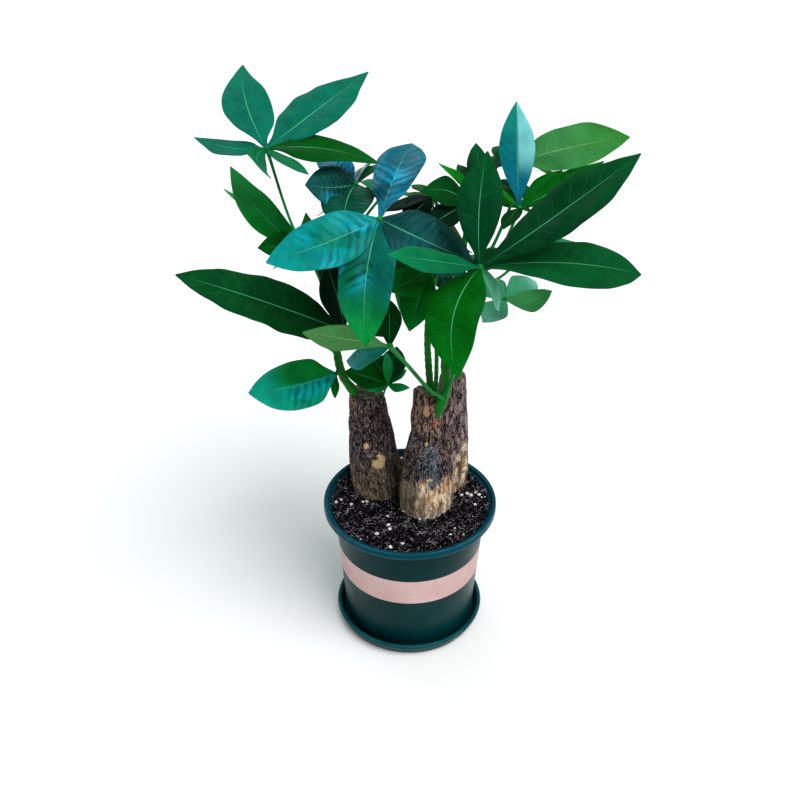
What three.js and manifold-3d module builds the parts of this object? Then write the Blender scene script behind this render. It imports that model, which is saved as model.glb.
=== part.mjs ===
// Potted money tree: three thick cut trunks in one nursery pot, on its saucer, with hand-shaped leaves.
// Millimetres, +Z up. The origin is the centre of the saucer's flat underside.
// +X is to the right and +Y to the back, seen from the front.

import * as THREE from "three";
import { mergeVertices } from "three/addons/utils/BufferGeometryUtils.js";
import Module from "manifold-3d";

const wasm = await Module();
wasm.setup();

// Clearance between pieces that touch on the real plant
const GAP = 0.3;

// Pot and saucer
const RIM_RADIUS = 75;
const RIM_TOP = 126;
const RIM_SKIRT = 6.5;
const RIM_WIDTH = 3.5;
const POT_SHOULDER_RADIUS = 66;
const POT_FOOT_RADIUS = 58;
const POT_WALL = 2.2;
const POT_SIDES = 32;
const DRAIN_HOLES = 6;
const DRAIN_RADIUS = 4;
const DRAIN_CIRCLE = 34;
const DRAIN_SIDES = 6;
const SAUCER_RADIUS = 66.6;
const SAUCER_HEIGHT = 12;
const SAUCER_FLOOR = 2.4;
const SAUCER_BASE_RADIUS = 61;
const SAUCER_RIM_WIDTH = 3.4;

// Soil
const SOIL_TOP = 122.9;
const SOIL_DISH = 6;
const SOIL_SKIN = 0.7;
const SOIL_LUMP = 0.9;
const SOIL_GAP = 0.6;
const SOIL_SIDES = 24;
const SOIL_RINGS = 4;

// Leaves
const BLADE_THICKNESS = 0.8;
const RIB_DEPTH = 0.5;
const BLADE_FOLD = 0.16;
const BLADE_WAVE = 0.035;
const WAVES_ALONG = 9;
const STALK_SIDES = 5;
const STALK_STEP = 18;
const SHOOT_SIDES = 8;
const SHOOT_STEPS = 8;
const HUB_SWELL = 1.35;
const SOCKET_DEPTH = 1.1;

const COLORS = {
  pot: "#0c3a3c",
  saucer: "#12494a",
  soil: "#1c1613",
  trunk: "#4a3a30",
  shoot: "#2f7d33",
  leaf: "#0b5a35",
};

const degrees = Math.PI / 180;
const point = (p) => new THREE.Vector3(p[0], p[1], p[2]);

// Solids

function solidFrom(geometry) {
  geometry.deleteAttribute("normal");
  geometry.deleteAttribute("uv");
  const merged = mergeVertices(geometry, 1e-4);
  const vertProperties = new Float32Array(merged.attributes.position.array);
  const triVerts = new Uint32Array(merged.index.array);
  return new wasm.Manifold(new wasm.Mesh({ numProp: 3, vertProperties, triVerts }));
}

function geometryFrom(solid) {
  const mesh = solid.getMesh();
  const geometry = new THREE.BufferGeometry();
  geometry.setAttribute("position", new THREE.BufferAttribute(mesh.vertProperties, 3));
  geometry.setIndex(new THREE.BufferAttribute(mesh.triVerts, 1));
  geometry.computeVertexNormals();
  return geometry;
}

const tree = new THREE.Group();

function addPiece(name, solid, color, roughness) {
  const material = new THREE.MeshStandardMaterial({ color, roughness, metalness: 0 });
  const mesh = new THREE.Mesh(geometryFrom(solid), material);
  mesh.name = name;
  tree.add(mesh);
}

function turned(profile, sides) {
  const outline = profile.map(([radius, height]) => new THREE.Vector2(radius, height));
  const geometry = new THREE.LatheGeometry(outline, sides);
  geometry.rotateX(Math.PI / 2);
  return geometry;
}

// Moves every corner of a geometry by a rule
function reshape(geometry, rule) {
  const positions = geometry.attributes.position;
  for (let i = 0; i < positions.count; i += 1) {
    const moved = rule(new THREE.Vector3().fromBufferAttribute(positions, i));
    positions.setXYZ(i, moved.x, moved.y, moved.z);
  }
  return geometry;
}

// A tapered round limb along a curve; grow makes it fatter and starts it deeper, for its socket
function limb(curve, startRadius, endRadius, sides, steps, grow) {
  const frames = curve.computeFrenetFrames(steps, false);
  const geometry = new THREE.CylinderGeometry(endRadius + grow, startRadius + grow, steps, sides, steps);
  return solidFrom(reshape(geometry, (corner) => {
    const step = Math.round(corner.y + steps / 2);
    const middle = curve.getPoint(step / steps);
    if (step === 0) middle.addScaledVector(frames.tangents[0], -grow);
    middle.addScaledVector(frames.normals[step], corner.x);
    middle.addScaledVector(frames.binormals[step], -corner.z);
    return middle;
  }));
}

const curveThrough = (points) => new THREE.CatmullRomCurve3(points.map(point), false, "centripetal");

// Pot: straight tapered side under a wide flat rim, filled with soil, with drain holes in its floor

function potRadius(height) {
  const foot = SAUCER_FLOOR + GAP;
  const share = (height - foot) / (RIM_TOP - RIM_SKIRT - foot);
  return POT_FOOT_RADIUS + (POT_SHOULDER_RADIUS - POT_FOOT_RADIUS) * share;
}

const POT_FOOT = SAUCER_FLOOR + GAP;
const POT_FLOOR = POT_FOOT + 3;
const RIM_UNDERSIDE = RIM_TOP - RIM_SKIRT;
const RIM_INNER = RIM_RADIUS - RIM_WIDTH;
const LEDGE = RIM_UNDERSIDE + 2;
const NECK = RIM_UNDERSIDE + 0.3;

function makePot() {
  const profile = [
    [0, POT_FOOT],
    [POT_FOOT_RADIUS - 1, POT_FOOT],
    [POT_FOOT_RADIUS, POT_FOOT + 1],
    [potRadius(RIM_UNDERSIDE - 3), RIM_UNDERSIDE - 3],
    [POT_SHOULDER_RADIUS + 1.2, RIM_UNDERSIDE - 0.8],
    [RIM_RADIUS - 0.6, RIM_UNDERSIDE],
    [RIM_RADIUS, RIM_UNDERSIDE + 0.8],
    [RIM_RADIUS - 0.2, RIM_TOP - 0.7],
    [RIM_RADIUS - 1, RIM_TOP],
    [RIM_INNER + 0.8, RIM_TOP],
    [RIM_INNER, RIM_TOP - 0.8],
    [RIM_INNER - 0.6, LEDGE],
    [potRadius(NECK) - POT_WALL, NECK],
    [potRadius(POT_FLOOR) - POT_WALL, POT_FLOOR],
    [0, POT_FLOOR],
  ];
  let solid = solidFrom(turned(profile, POT_SIDES));
  const through = 4 * (POT_FLOOR - POT_FOOT);
  for (let i = 0; i < DRAIN_HOLES; i += 1) {
    const angle = (i * 360 * degrees) / DRAIN_HOLES;
    const hole = new THREE.CylinderGeometry(DRAIN_RADIUS, DRAIN_RADIUS, through, DRAIN_SIDES);
    hole.rotateX(Math.PI / 2);
    hole.translate(DRAIN_CIRCLE * Math.cos(angle), DRAIN_CIRCLE * Math.sin(angle), POT_FOOT + 1);
    solid = solid.subtract(solidFrom(hole));
  }
  return solid;
}

// Saucer: a shallow dish with a rolled rim that the pot stands in

function makeSaucer() {
  const inside = SAUCER_RADIUS - SAUCER_RIM_WIDTH;
  const profile = [
    [0, 0],
    [SAUCER_BASE_RADIUS, 0],
    [SAUCER_BASE_RADIUS + 1.5, 0.8],
    [SAUCER_RADIUS - 1.4, SAUCER_HEIGHT - 3.4],
    [SAUCER_RADIUS - 0.2, SAUCER_HEIGHT - 2.6],
    [SAUCER_RADIUS, SAUCER_HEIGHT - 1.8],
    [SAUCER_RADIUS - 0.3, SAUCER_HEIGHT - 0.4],
    [SAUCER_RADIUS - 1, SAUCER_HEIGHT],
    [inside + 0.8, SAUCER_HEIGHT],
    [inside, SAUCER_HEIGHT - 0.8],
    [SAUCER_BASE_RADIUS - 1, SAUCER_FLOOR + 0.8],
    [SAUCER_BASE_RADIUS - 2, SAUCER_FLOOR],
    [0, SAUCER_FLOOR],
  ];
  return solidFrom(turned(profile, POT_SIDES));
}

// Trunks: swollen at the soil, narrow at the cut top, with raised bark ridges.
// The back one has grown flat where the front one presses on it.

const TRUNK_SIDES = 16;
const TRUNK_BOTTOM = 66;
const BARK_RIDGES = { count: 5, depth: 0.03, climb: 2 };
const BARK_FOLDS = { count: 9, depth: 0.022, climb: -3 };
const SLANT_FROM = 0.75;

const TRUNKS = {
  trunk_left: {
    foot: [-26, 26],
    head: [-37.5, 29],
    lean: [-0.12, 0],
    profile: [
      [0, 0], [12, 3], [18, 16], [21.4, 40], [22, 56], [21.7, 79], [20.1, 100], [17.8, 121], [16, 137],
      [15, 146], [12, 150], [0, 151],
    ],
    twist: 0.4,
  },
  trunk_front: {
    foot: [13.5, 3],
    head: [14, 2],
    lean: [-0.38, -0.1],
    profile: [
      [0, 0], [12, 3], [18, 16], [22, 46], [23, 65], [21.5, 87], [18, 108], [14, 126], [12.6, 146],
      [11, 163], [9.4, 166], [0, 165],
    ],
    twist: 1.7,
  },
  trunk_back: {
    foot: [34.5, 30.5],
    head: [35.5, 33],
    lean: [0.05, 0.05],
    pressedBy: "trunk_front",
    profile: [
      [0, 0], [9, 3], [13, 16], [15.6, 46], [16.2, 70], [16, 93], [15, 114], [13.4, 135], [11.4, 158],
      [9.6, 164], [0, 163.5],
    ],
    twist: 3.1,
  },
};

function makeTrunk({ foot, head, lean, profile, twist }, grow) {
  const top = profile[profile.length - 1][1];
  const outline = profile.map(([radius, height]) => [radius, height + TRUNK_BOTTOM]);
  return solidFrom(reshape(turned(outline, TRUNK_SIDES), (corner) => {
    const share = (corner.z - TRUNK_BOTTOM) / top;
    const angle = Math.atan2(corner.y, corner.x);
    const bark = ({ count, depth, climb }) => depth * Math.sin(count * angle + twist + climb * share);
    const ridges = bark(BARK_RIDGES) + bark(BARK_FOLDS);
    const radius = Math.hypot(corner.x, corner.y);
    const swollen = radius > 0 ? radius * (1 + ridges) + grow : 0;
    const x = swollen * Math.cos(angle);
    const y = swollen * Math.sin(angle);
    const slant = THREE.MathUtils.smoothstep(share, SLANT_FROM, 1) * (lean[0] * x + lean[1] * y);
    const end = Math.sign(Math.round(share * 2 - 1)) * grow;
    return new THREE.Vector3(
      THREE.MathUtils.lerp(foot[0], head[0], share) + x,
      THREE.MathUtils.lerp(foot[1], head[1], share) + y,
      corner.z + slant + end,
    );
  }));
}

// Soil: fills the pot to just under its rim, lumpy on top and a little lower in the middle,
// with a plain hole for each trunk

function makeSoil() {
  const floor = POT_FLOOR + GAP;
  const inside = (height) => potRadius(height) - POT_WALL - SOIL_GAP;
  const edge = RIM_INNER - 0.6 - SOIL_GAP - GAP;
  const profile = [
    [0, floor],
    [inside(floor) - 0.5, floor],
    [inside(NECK), NECK + SOIL_GAP],
    [edge, SOIL_TOP - SOIL_SKIN],
    [edge, SOIL_TOP],
  ];
  for (let ring = SOIL_RINGS - 1; ring >= 0; ring -= 1) {
    const share = ring / SOIL_RINGS;
    profile.push([edge * share, SOIL_TOP - SOIL_DISH * (1 - share ** 2)]);
  }
  return solidFrom(reshape(turned(profile, SOIL_SIDES), (corner) => {
    const onEdge = Math.hypot(corner.x, corner.y) > inside(NECK) - GAP;
    if (onEdge || corner.z < SOIL_TOP - SOIL_DISH - GAP) return corner;
    const crumbs = Math.sin(corner.x * 0.43 + 1) * Math.cos(corner.y * 0.37);
    const swells = Math.sin(corner.x * 0.17 - corner.y * 0.29);
    corner.z += SOIL_LUMP * (crumbs + swells);
    return corner;
  }));
}

// Shoots: the green stems that grew from the cut tops; each starts sunk in its trunk

const SHOOTS = {
  shoot_left: {
    trunk: "trunk_left",
    start: 4,
    end: 2.1,
    route: [
      [-43, 27, 210], [-56, 21, 235], [-60, 18, 260], [-60, 14, 289],
      [-56, 8, 322], [-50, 2, 347], [-44, 0, 366],
    ],
  },
  shoot_right: {
    trunk: "trunk_front",
    start: 4.6,
    end: 2,
    route: [
      [19, -2, 211], [28.5, -8, 240], [27, -12, 262], [27, -12, 292],
      [32, -8, 328], [38, 2, 352], [41, 14, 372],
    ],
  },
  shoot_middle: {
    trunk: "trunk_front",
    start: 3.2,
    end: 1.9,
    route: [[17, 7, 224], [14.5, 10, 250], [13, 12, 278], [14.5, 14, 306], [20, 20, 336], [24, 28, 358]],
  },
  shoot_thin: {
    trunk: "trunk_front",
    start: 1.9,
    end: 1.3,
    route: [[20, 3, 224], [20.5, 2, 250], [20, 1, 280], [19, 0, 308], [16, -3, 334]],
  },
  shoot_back: {
    trunk: "trunk_back",
    start: 3.4,
    end: 2,
    route: [[35, 33, 222], [41, 34, 258], [46, 36, 290], [53, 36, 318], [60, 33, 338]],
  },
};

// Leaflet outlines, base to tip, as share of length and share of half width
const OUTLINES = {
  oval: [[0, 0.06], [0.12, 0.24], [0.3, 0.72], [0.52, 1], [0.7, 0.88], [0.87, 0.46], [1, 0.03]],
  lance: [[0, 0.06], [0.1, 0.26], [0.25, 0.8], [0.42, 1], [0.62, 0.86], [0.82, 0.42], [1, 0.03]],
  spoon: [[0, 0.06], [0.15, 0.26], [0.35, 0.72], [0.58, 0.97], [0.75, 1], [0.9, 0.62], [1, 0.03]],
  small: [[0, 0.1], [0.26, 0.66], [0.54, 1], [0.82, 0.6], [1, 0.04]],
  broad: [[0, 0.06], [0.08, 0.36], [0.24, 0.88], [0.46, 1], [0.7, 0.87], [0.88, 0.45], [1, 0.03]],
};

// Fronds: a leaf stalk from a shoot to its hub, and the leaflets that spread from the hub.
// A leaflet is heading from +X, rise, length, width, roll, outline, arch upward and bow to its right.
const FRONDS = {
  frond_upper_left: {
    from: "shoot_left",
    at: 0.52,
    stalk: 1.1,
    route: [[-72, 9, 333], [-88, 6, 372], [-103, 10, 427]],
    leaflets: [
      [108, 26, 94, 36, 0, "lance", 2, -6],
      [51, 18, 115, 41, 15, "lance", 1, 1],
      [160, 3, 59, 21, -15, "lance", -2, -4],
      [7, -9, 82, 30, 20, "lance", 5, -1],
      [-43, -10, 45, 14, -5, "small", 0, 1],
      [-78, -8, 46, 18, -45, "small", -4, 8],
    ],
  },
  frond_far_left: {
    from: "shoot_left",
    at: 0.46,
    stalk: 1.1,
    route: [[-68, 26, 305], [-78, 35, 339]],
    leaflets: [
      [158, 42, 90, 28, -25, "oval", -1, -9],
      [146, 21, 96, 22, 5, "lance", -2, 2],
      [-150, 16, 45, 26, -45, "small", 2, 1],
      [100, 14, 56, 15, 0, "lance", -1, 0],
      [-18, -42, 50, 24, 40, "oval", 2, 0],
    ],
  },
  frond_center: {
    from: "shoot_left",
    at: 0.7,
    stalk: 1.4,
    route: [[-42, -12, 352], [-30, -28, 378], [-22, -35, 392]],
    leaflets: [
      [-162, -15, 83, 38, -40, "broad", 3, -4],
      [-98, -48, 90, 38, 0, "broad", 4, 4],
      [74, 22, 84, 35, 0, "spoon", 2, -1],
      [-14, -20, 70, 38, 35, "broad", 2, 2],
    ],
  },
  frond_inner_left: {
    from: "shoot_left",
    at: 0.97,
    stalk: 1.2,
    route: [[-42, 8, 382], [-41, 15, 400]],
    leaflets: [
      [-149, 9, 40, 31, -50, "broad", 1, -3],
      [-99, -21, 45, 37, 0, "broad", 2, 2],
      [126, 10, 58, 23, -20, "lance", 3, 0],
      [84, -4, 65, 20, -40, "small", 3, 0],
      [66, 2, 58, 20, -15, "small", 2, 0],
    ],
  },
  frond_long_leaf: {
    from: "shoot_left",
    at: 0.34,
    stalk: 1.3,
    route: [[-66, 7, 270], [-63, -10, 287], [-50, -20, 298]],
    leaflets: [
      [-165, 27, 131, 46, -25, "broad", 1, 1],
      [-35, 12, 40, 18, 0, "small", 2, 0],
      [140, 72, 54, 32, 0, "oval", 2, 0],
    ],
  },
  frond_low_center: {
    from: "shoot_right",
    at: 0.13,
    stalk: 1.6,
    route: [[16, -22, 247], [-2, -44, 282], [-15, -60, 307]],
    leaflets: [
      [-157, 21, 68, 27, 65, "oval", 2, 2],
      [149, -30, 45, 24, -30, "small", 0, -2],
      [92, 32, 40, 18, 0, "small", 1, 0],
    ],
  },
  frond_low_left: {
    from: "shoot_left",
    at: 0.24,
    stalk: 1.1,
    route: [[-61, 11, 243]],
    leaflets: [
      [-162, -4, 72, 43, -35, "broad", 2, -4],
      [-94, -60, 20, 7, 0, "small", 1, 0],
    ],
  },
  frond_sprig: {
    from: "trunk_left",
    base: [-24, 26, 208],
    stalk: 0.9,
    route: [[-22, 24, 219], [-19, 22, 227]],
    leaflets: [
      [-145, 6, 21, 8, -20, "small", 0, -2],
      [-34, 12, 22, 9, 30, "small", 0, 2],
      [108, 84, 29, 10, 20, "small", 1, 0],
      [-173, 23, 38, 22, -40, "small", 2, 0],
      [130, 38, 34, 22, 0, "small", 1, 0],
      [74, 42, 34, 24, 0, "small", 1, 0],
      [38, 22, 21, 9, 20, "small", 1, 0],
    ],
  },
  frond_right: {
    from: "shoot_right",
    at: 0.16,
    stalk: 1.5,
    route: [[31, -24, 257], [36, -44, 292], [44, -66, 346], [45, -75, 374]],
    leaflets: [
      [84, 55, 78, 30, 0, "oval", 4, -3],
      [11, 35, 123, 40, 20, "oval", 1, 3],
      [0, -2, 106, 39, 25, "spoon", 4, -3],
      [-161, 16, 66, 25, -20, "oval", 1, -2],
      [-108, -50, 74, 35, 0, "broad", 4, 10],
      [40, -60, 44, 16, 60, "small", 2, 0],
    ],
  },
  frond_upper_right: {
    from: "shoot_back",
    at: 0.98,
    stalk: 1.3,
    route: [[68, 34, 358], [76, 34, 384], [78, 32, 412]],
    leaflets: [
      [-10, 16, 80, 33, -80, "broad", 2, 1],
      [66, -6, 52, 19, 20, "small", 2, 0],
      [176, -14, 40, 20, 0, "small", 2, 0],
      [120, 5, 34, 18, -15, "small", 1, 0],
      [40, -25, 46, 20, 0, "small", 2, 0],
    ],
  },
  frond_tip_right: {
    from: "shoot_back",
    at: 0.9,
    stalk: 1.2,
    route: [[66, 18, 345], [73, 12, 366], [78, 8, 385]],
    leaflets: [
      [94, 60, 77, 26, 0, "oval", 2, -1],
      [26, 20, 76, 24, 25, "lance", 0, 2],
      [40, 24, 48, 20, 35, "small", 0, 2],
      [-122, -16, 26, 17, 20, "small", 2, -2],
      [150, 30, 36, 26, 10, "small", 2, 0],
    ],
  },
  frond_lower_right: {
    from: "shoot_right",
    at: 0.62,
    stalk: 1.1,
    route: [[48, -12, 312], [71, -5, 318]],
    leaflets: [
      [8, 9, 36, 19, 35, "small", -1, 5],
      [-132, -18, 28, 21, -15, "small", 1, -1],
      [48, 3, 40, 23, 25, "small", 3, -1],
      [150, 26, 25, 18, -30, "small", 1, 0],
      [120, 12, 32, 20, 0, "small", 2, 0],
    ],
  },
  frond_top_back: {
    from: "shoot_back",
    at: 0.84,
    stalk: 1.2,
    route: [[54, 48, 345], [53, 62, 376]],
    leaflets: [
      [94, 44, 46, 18, 0, "small", 2, 0],
      [116, 22, 40, 16, 0, "small", 1, 0],
      [-152, 40, 48, 13, -40, "lance", 1, -1],
      [66, 28, 49, 20, -20, "small", 3, -1],
      [36, -6, 58, 22, 30, "small", 3, 0],
      [-20, -10, 44, 20, 0, "small", 2, 0],
    ],
  },
  frond_inner_right: {
    from: "shoot_right",
    at: 0.98,
    stalk: 1,
    route: [[42, 26, 372], [41, 35, 378]],
    leaflets: [
      [-149, 24, 42, 23, -60, "small", 4, 4],
      [-132, -8, 48, 21, -30, "small", 2, 0],
    ],
  },
  frond_inner_top: {
    from: "shoot_middle",
    at: 0.98,
    stalk: 1,
    route: [[18, 40, 366], [15, 50, 379]],
    leaflets: [
      [-134, -28, 34, 23, -20, "small", 2, 0],
      [112, -2, 38, 14, 0, "small", 1, 0],
      [27, -60, 62, 25, 0, "small", 1, 0],
      [-165, -12, 38, 22, 0, "small", 1, 0],
    ],
  },
  frond_inner_center: {
    from: "shoot_right",
    at: 0.74,
    stalk: 1,
    route: [[40, -18, 343]],
    leaflets: [
      [180, 38, 50, 34, -50, "oval", 3, 0],
      [20, 30, 34, 18, 20, "small", 1, 0],
    ],
  },
  frond_under_center: {
    from: "shoot_thin",
    at: 0.9,
    stalk: 1.1,
    route: [[12, -5, 343]],
    leaflets: [
      [-112, -44, 50, 28, 0, "small", 2, -1],
      [-141, -8, 40, 27, -30, "small", 0, -3],
      [165, -68, 50, 32, -60, "small", 3, 1],
      [172, -12, 38, 28, -20, "small", 1, 0],
    ],
  },
};

// A leaflet: a thin arched blade folded a little along its rib, waved at its edges, alike on both faces
function leaflet(hub, [heading, rise, length, width, roll, outlineName, arch, bow]) {
  const forward = new THREE.Vector3(
    Math.cos(rise * degrees) * Math.cos(heading * degrees),
    Math.cos(rise * degrees) * Math.sin(heading * degrees),
    Math.sin(rise * degrees),
  );
  const up = new THREE.Vector3(0, 0, 1).addScaledVector(forward, -forward.z).normalize();
  const side = new THREE.Vector3().crossVectors(forward, up);
  up.applyAxisAngle(forward, roll * degrees);
  side.applyAxisAngle(forward, roll * degrees);
  const phase = heading + length;
  const corners = [];
  for (const [along, half] of OUTLINES[outlineName]) {
    const bend = 4 * along * (1 - along);
    for (const across of [-1, 0, 1]) {
      const reach = (across * half * width) / 2;
      const swing = Math.sin(WAVES_ALONG * along + across + phase);
      const ripple = Math.abs(across) * half * width * BLADE_WAVE * swing;
      const height = arch * bend + Math.abs(reach) * BLADE_FOLD + ripple;
      for (const face of [1, -1]) {
        const skin = face * (BLADE_THICKNESS / 2) - (across === 0 && face < 0 ? RIB_DEPTH : 0);
        const corner = hub.clone().addScaledVector(forward, along * length);
        corner.addScaledVector(side, reach + bow * bend);
        corners.push(corner.addScaledVector(up, height + skin));
      }
    }
  }
  const stations = OUTLINES[outlineName].length;
  const at = (station, across, face) => station * 6 + across * 2 + face;
  const triangles = [];
  const quad = (a, b, c, d) => triangles.push(a, b, c, a, c, d);
  for (let i = 0; i < stations - 1; i += 1) {
    const [a, b] = [i, i + 1];
    quad(at(a, 0, 0), at(a, 1, 0), at(b, 1, 0), at(b, 0, 0));
    quad(at(b, 1, 0), at(a, 1, 0), at(a, 2, 0), at(b, 2, 0));
    quad(at(b, 1, 1), at(a, 1, 1), at(a, 0, 1), at(b, 0, 1));
    quad(at(a, 1, 1), at(b, 1, 1), at(b, 2, 1), at(a, 2, 1));
    quad(at(a, 0, 1), at(a, 0, 0), at(b, 0, 0), at(b, 0, 1));
    quad(at(a, 2, 0), at(a, 2, 1), at(b, 2, 1), at(b, 2, 0));
  }
  const end = stations - 1;
  for (const half of [0, 1]) {
    quad(at(0, half, 0), at(0, half, 1), at(0, half + 1, 1), at(0, half + 1, 0));
    quad(at(end, half, 1), at(end, half, 0), at(end, half + 1, 0), at(end, half + 1, 1));
  }
  const geometry = new THREE.BufferGeometry().setFromPoints(corners);
  geometry.setIndex(triangles);
  return solidFrom(geometry);
}

// Back of the crown: fronds that fan out backward, hidden from the front
const BACK_FRONDS = [
  { from: "shoot_left", at: 0.6, route: [[-64, 46, 318], [-62, 74, 330]], heading: 122 },
  { from: "shoot_left", at: 0.9, route: [[-36, 38, 366], [-24, 70, 372]], heading: 95 },
  {
    from: "shoot_middle",
    at: 0.72,
    route: [[10, 56, 318], [4, 92, 324]],
    heading: 104,
    inward: [[-48, -36, 60, 26, 0, "small", 2, 0], [-119, -24, 46, 22, 0, "small", 1, 0]],
  },
  { from: "shoot_back", at: 0.5, route: [[50, 62, 290], [48, 96, 304]], heading: 80 },
  { from: "shoot_back", at: 0.68, route: [[72, 50, 312], [92, 64, 326]], heading: 42 },
];
const BACK_FAN = [-78, -38, 2, 40, 80];
const BACK_LENGTHS = [58, 70, 78, 68, 56];
const BACK_WIDTH = 0.38;

function backFan(heading, order) {
  return BACK_FAN.map((turn, i) => {
    const rise = -8 - 5 * ((i + order) % 3);
    const roll = 6 * (i - 2);
    return [heading + turn, rise, BACK_LENGTHS[i], BACK_LENGTHS[i] * BACK_WIDTH, roll, "small", 4, 0];
  });
}

BACK_FRONDS.forEach(({ from, at, route, heading, inward = [] }, order) => {
  FRONDS[`frond_back_${order + 1}`] = {
    from,
    at,
    stalk: 1.2,
    route,
    leaflets: [...backFan(heading, order), ...inward],
  };
});

const shootCurve = (name) => curveThrough(SHOOTS[name].route);

// A stalk starts just under the skin of the stem that carries it
function stalkCurve({ from, at, base, route }) {
  if (base) return curveThrough([base, ...route]);
  const stem = shootCurve(from);
  const middle = stem.getPoint(at);
  const along = stem.getTangent(at);
  const outward = point(route[0]).sub(middle);
  outward.addScaledVector(along, -outward.dot(along)).normalize();
  const radius = THREE.MathUtils.lerp(SHOOTS[from].start, SHOOTS[from].end, at);
  const start = middle.addScaledVector(outward, radius - SOCKET_DEPTH);
  return curveThrough([start.toArray(), ...route]);
}

function makeStalk(frond, grow) {
  const curve = stalkCurve(frond);
  const steps = Math.max(3, Math.round(curve.getLength() / STALK_STEP));
  return limb(curve, frond.stalk * 1.2, frond.stalk, STALK_SIDES, steps, grow);
}

function makeFrond(frond) {
  const hub = point(frond.route[frond.route.length - 1]);
  const bead = new THREE.IcosahedronGeometry(frond.stalk * HUB_SWELL + 0.4, 0);
  bead.translate(hub.x, hub.y, hub.z);
  const pieces = [makeStalk(frond, 0), solidFrom(bead)];
  frond.leaflets.forEach((blade) => pieces.push(leaflet(hub, blade)));
  return pieces.reduce((whole, piece) => whole.add(piece));
}

const frondsOn = (carrier) => Object.values(FRONDS).filter(({ from }) => from === carrier);
const shootsOn = (carrier) => Object.keys(SHOOTS).filter((name) => SHOOTS[name].trunk === carrier);

function makeShoot(name, grow) {
  const { start, end } = SHOOTS[name];
  return limb(shootCurve(name), start, end, SHOOT_SIDES, SHOOT_STEPS, grow);
}

// Assembly: each carrier gets a socket for every stem that grows from it

addPiece("saucer", makeSaucer(), COLORS.saucer, 0.35);
addPiece("pot", makePot(), COLORS.pot, 0.35);

let soil = makeSoil();
for (const [name, trunk] of Object.entries(TRUNKS)) {
  soil = soil.subtract(makeTrunk(trunk, GAP));
  let wood = makeTrunk(trunk, 0);
  if (trunk.pressedBy) wood = wood.subtract(makeTrunk(TRUNKS[trunk.pressedBy], GAP));
  shootsOn(name).forEach((shoot) => { wood = wood.subtract(makeShoot(shoot, GAP)); });
  frondsOn(name).forEach((frond) => { wood = wood.subtract(makeStalk(frond, GAP)); });
  addPiece(name, wood, COLORS.trunk, 0.9);
}
addPiece("soil", soil, COLORS.soil, 1);

for (const name of Object.keys(SHOOTS)) {
  let stem = makeShoot(name, 0);
  frondsOn(name).forEach((frond) => { stem = stem.subtract(makeStalk(frond, GAP)); });
  addPiece(name, stem, COLORS.shoot, 0.5);
}

for (const [name, frond] of Object.entries(FRONDS)) {
  addPiece(name, makeFrond(frond), COLORS.leaf, 0.35);
}

export default tree;
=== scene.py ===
"""Looks of the potted money tree: pot, saucer, soil, cut trunks, green shoots and hand-shaped leaves."""

import math
import random

import bpy
from mathutils import Matrix, Quaternion, Vector, noise


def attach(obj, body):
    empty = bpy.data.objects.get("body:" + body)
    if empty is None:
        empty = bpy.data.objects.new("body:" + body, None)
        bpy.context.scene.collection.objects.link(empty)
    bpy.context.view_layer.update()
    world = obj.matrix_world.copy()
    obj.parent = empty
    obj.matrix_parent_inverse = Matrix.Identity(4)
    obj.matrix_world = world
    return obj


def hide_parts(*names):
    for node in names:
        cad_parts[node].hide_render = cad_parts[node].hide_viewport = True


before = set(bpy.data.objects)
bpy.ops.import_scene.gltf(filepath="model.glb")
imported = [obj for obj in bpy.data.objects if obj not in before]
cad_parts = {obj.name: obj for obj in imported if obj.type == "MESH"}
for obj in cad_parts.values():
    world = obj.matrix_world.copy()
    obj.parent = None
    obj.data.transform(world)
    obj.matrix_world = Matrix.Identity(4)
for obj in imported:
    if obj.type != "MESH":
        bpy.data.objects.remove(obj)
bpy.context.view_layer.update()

# Lengths are in millimetres, as in the CAD, and become metres by this factor. Only the camera, the lamps
# and the floor are placed in metres.
MM = 0.001

# Camera, fitted to the photograph, with its angles in degrees
CAMERA_PLACE = (0, -0.623, 0.610)
CAMERA_TILT = 58.3
CAMERA_TURN = 0.79
CAMERA_LENS = 40.5
SENSOR_WIDTH = 36
FLOOR_SIZE = 16
FLOOR_MIDDLE = (0, 3, 0)

# Light: a wide sun from the right front, and a cool window behind on the left
SKY_COLOUR = (0.98, 0.99, 1.0, 1)
SKY_STRENGTH = 0.45
SUN_FROM = Vector((0.5, -0.45, 1.0))
SUN_ENERGY = 2.8
SUN_SPREAD = 48
WINDOW_PLACE = Vector((-0.7, 1.3, 1.6))
WINDOW_AIM = Vector((0, 0, 0.35))
WINDOW_SIZE = (1.5, 1.1)
WINDOW_POWER = 9
WINDOW_COLOUR = (0.7, 0.92, 1.0)

# Pot and saucer as rings of (radius, height), with the printed band
POT_SIDES = 128
POT_RINGS = [
    (57.0, 2.7), (58.0, 3.7), (65.6, 116.5), (66.8, 118.4), (72.6, 119.4), (74.2, 119.5), (74.9, 120.1),
    (75.0, 121.0), (74.8, 125.2), (74.4, 125.8), (73.8, 126.0), (72.4, 126.0), (71.7, 125.6),
    (71.4, 124.9), (70.9, 121.5), (64.0, 119.8), (56.1, 5.7),
]
SAUCER_RINGS = [
    (60.6, 0.0), (61.6, 0.3), (62.5, 0.9), (65.2, 8.4), (66.2, 9.0), (66.6, 9.8), (66.6, 10.8),
    (66.2, 11.6), (65.6, 12.0), (64.0, 12.0), (63.4, 11.6), (63.1, 10.9), (60.0, 3.2), (59.0, 2.4),
]
POT_CORNER = 0.35
BAND_LOW = 59.5
BAND_HIGH = 85.5
BAND_SOFT = 0.12
BAND_WOBBLE = 0.3
BAND_OUTSIDE = 58.5

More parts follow.
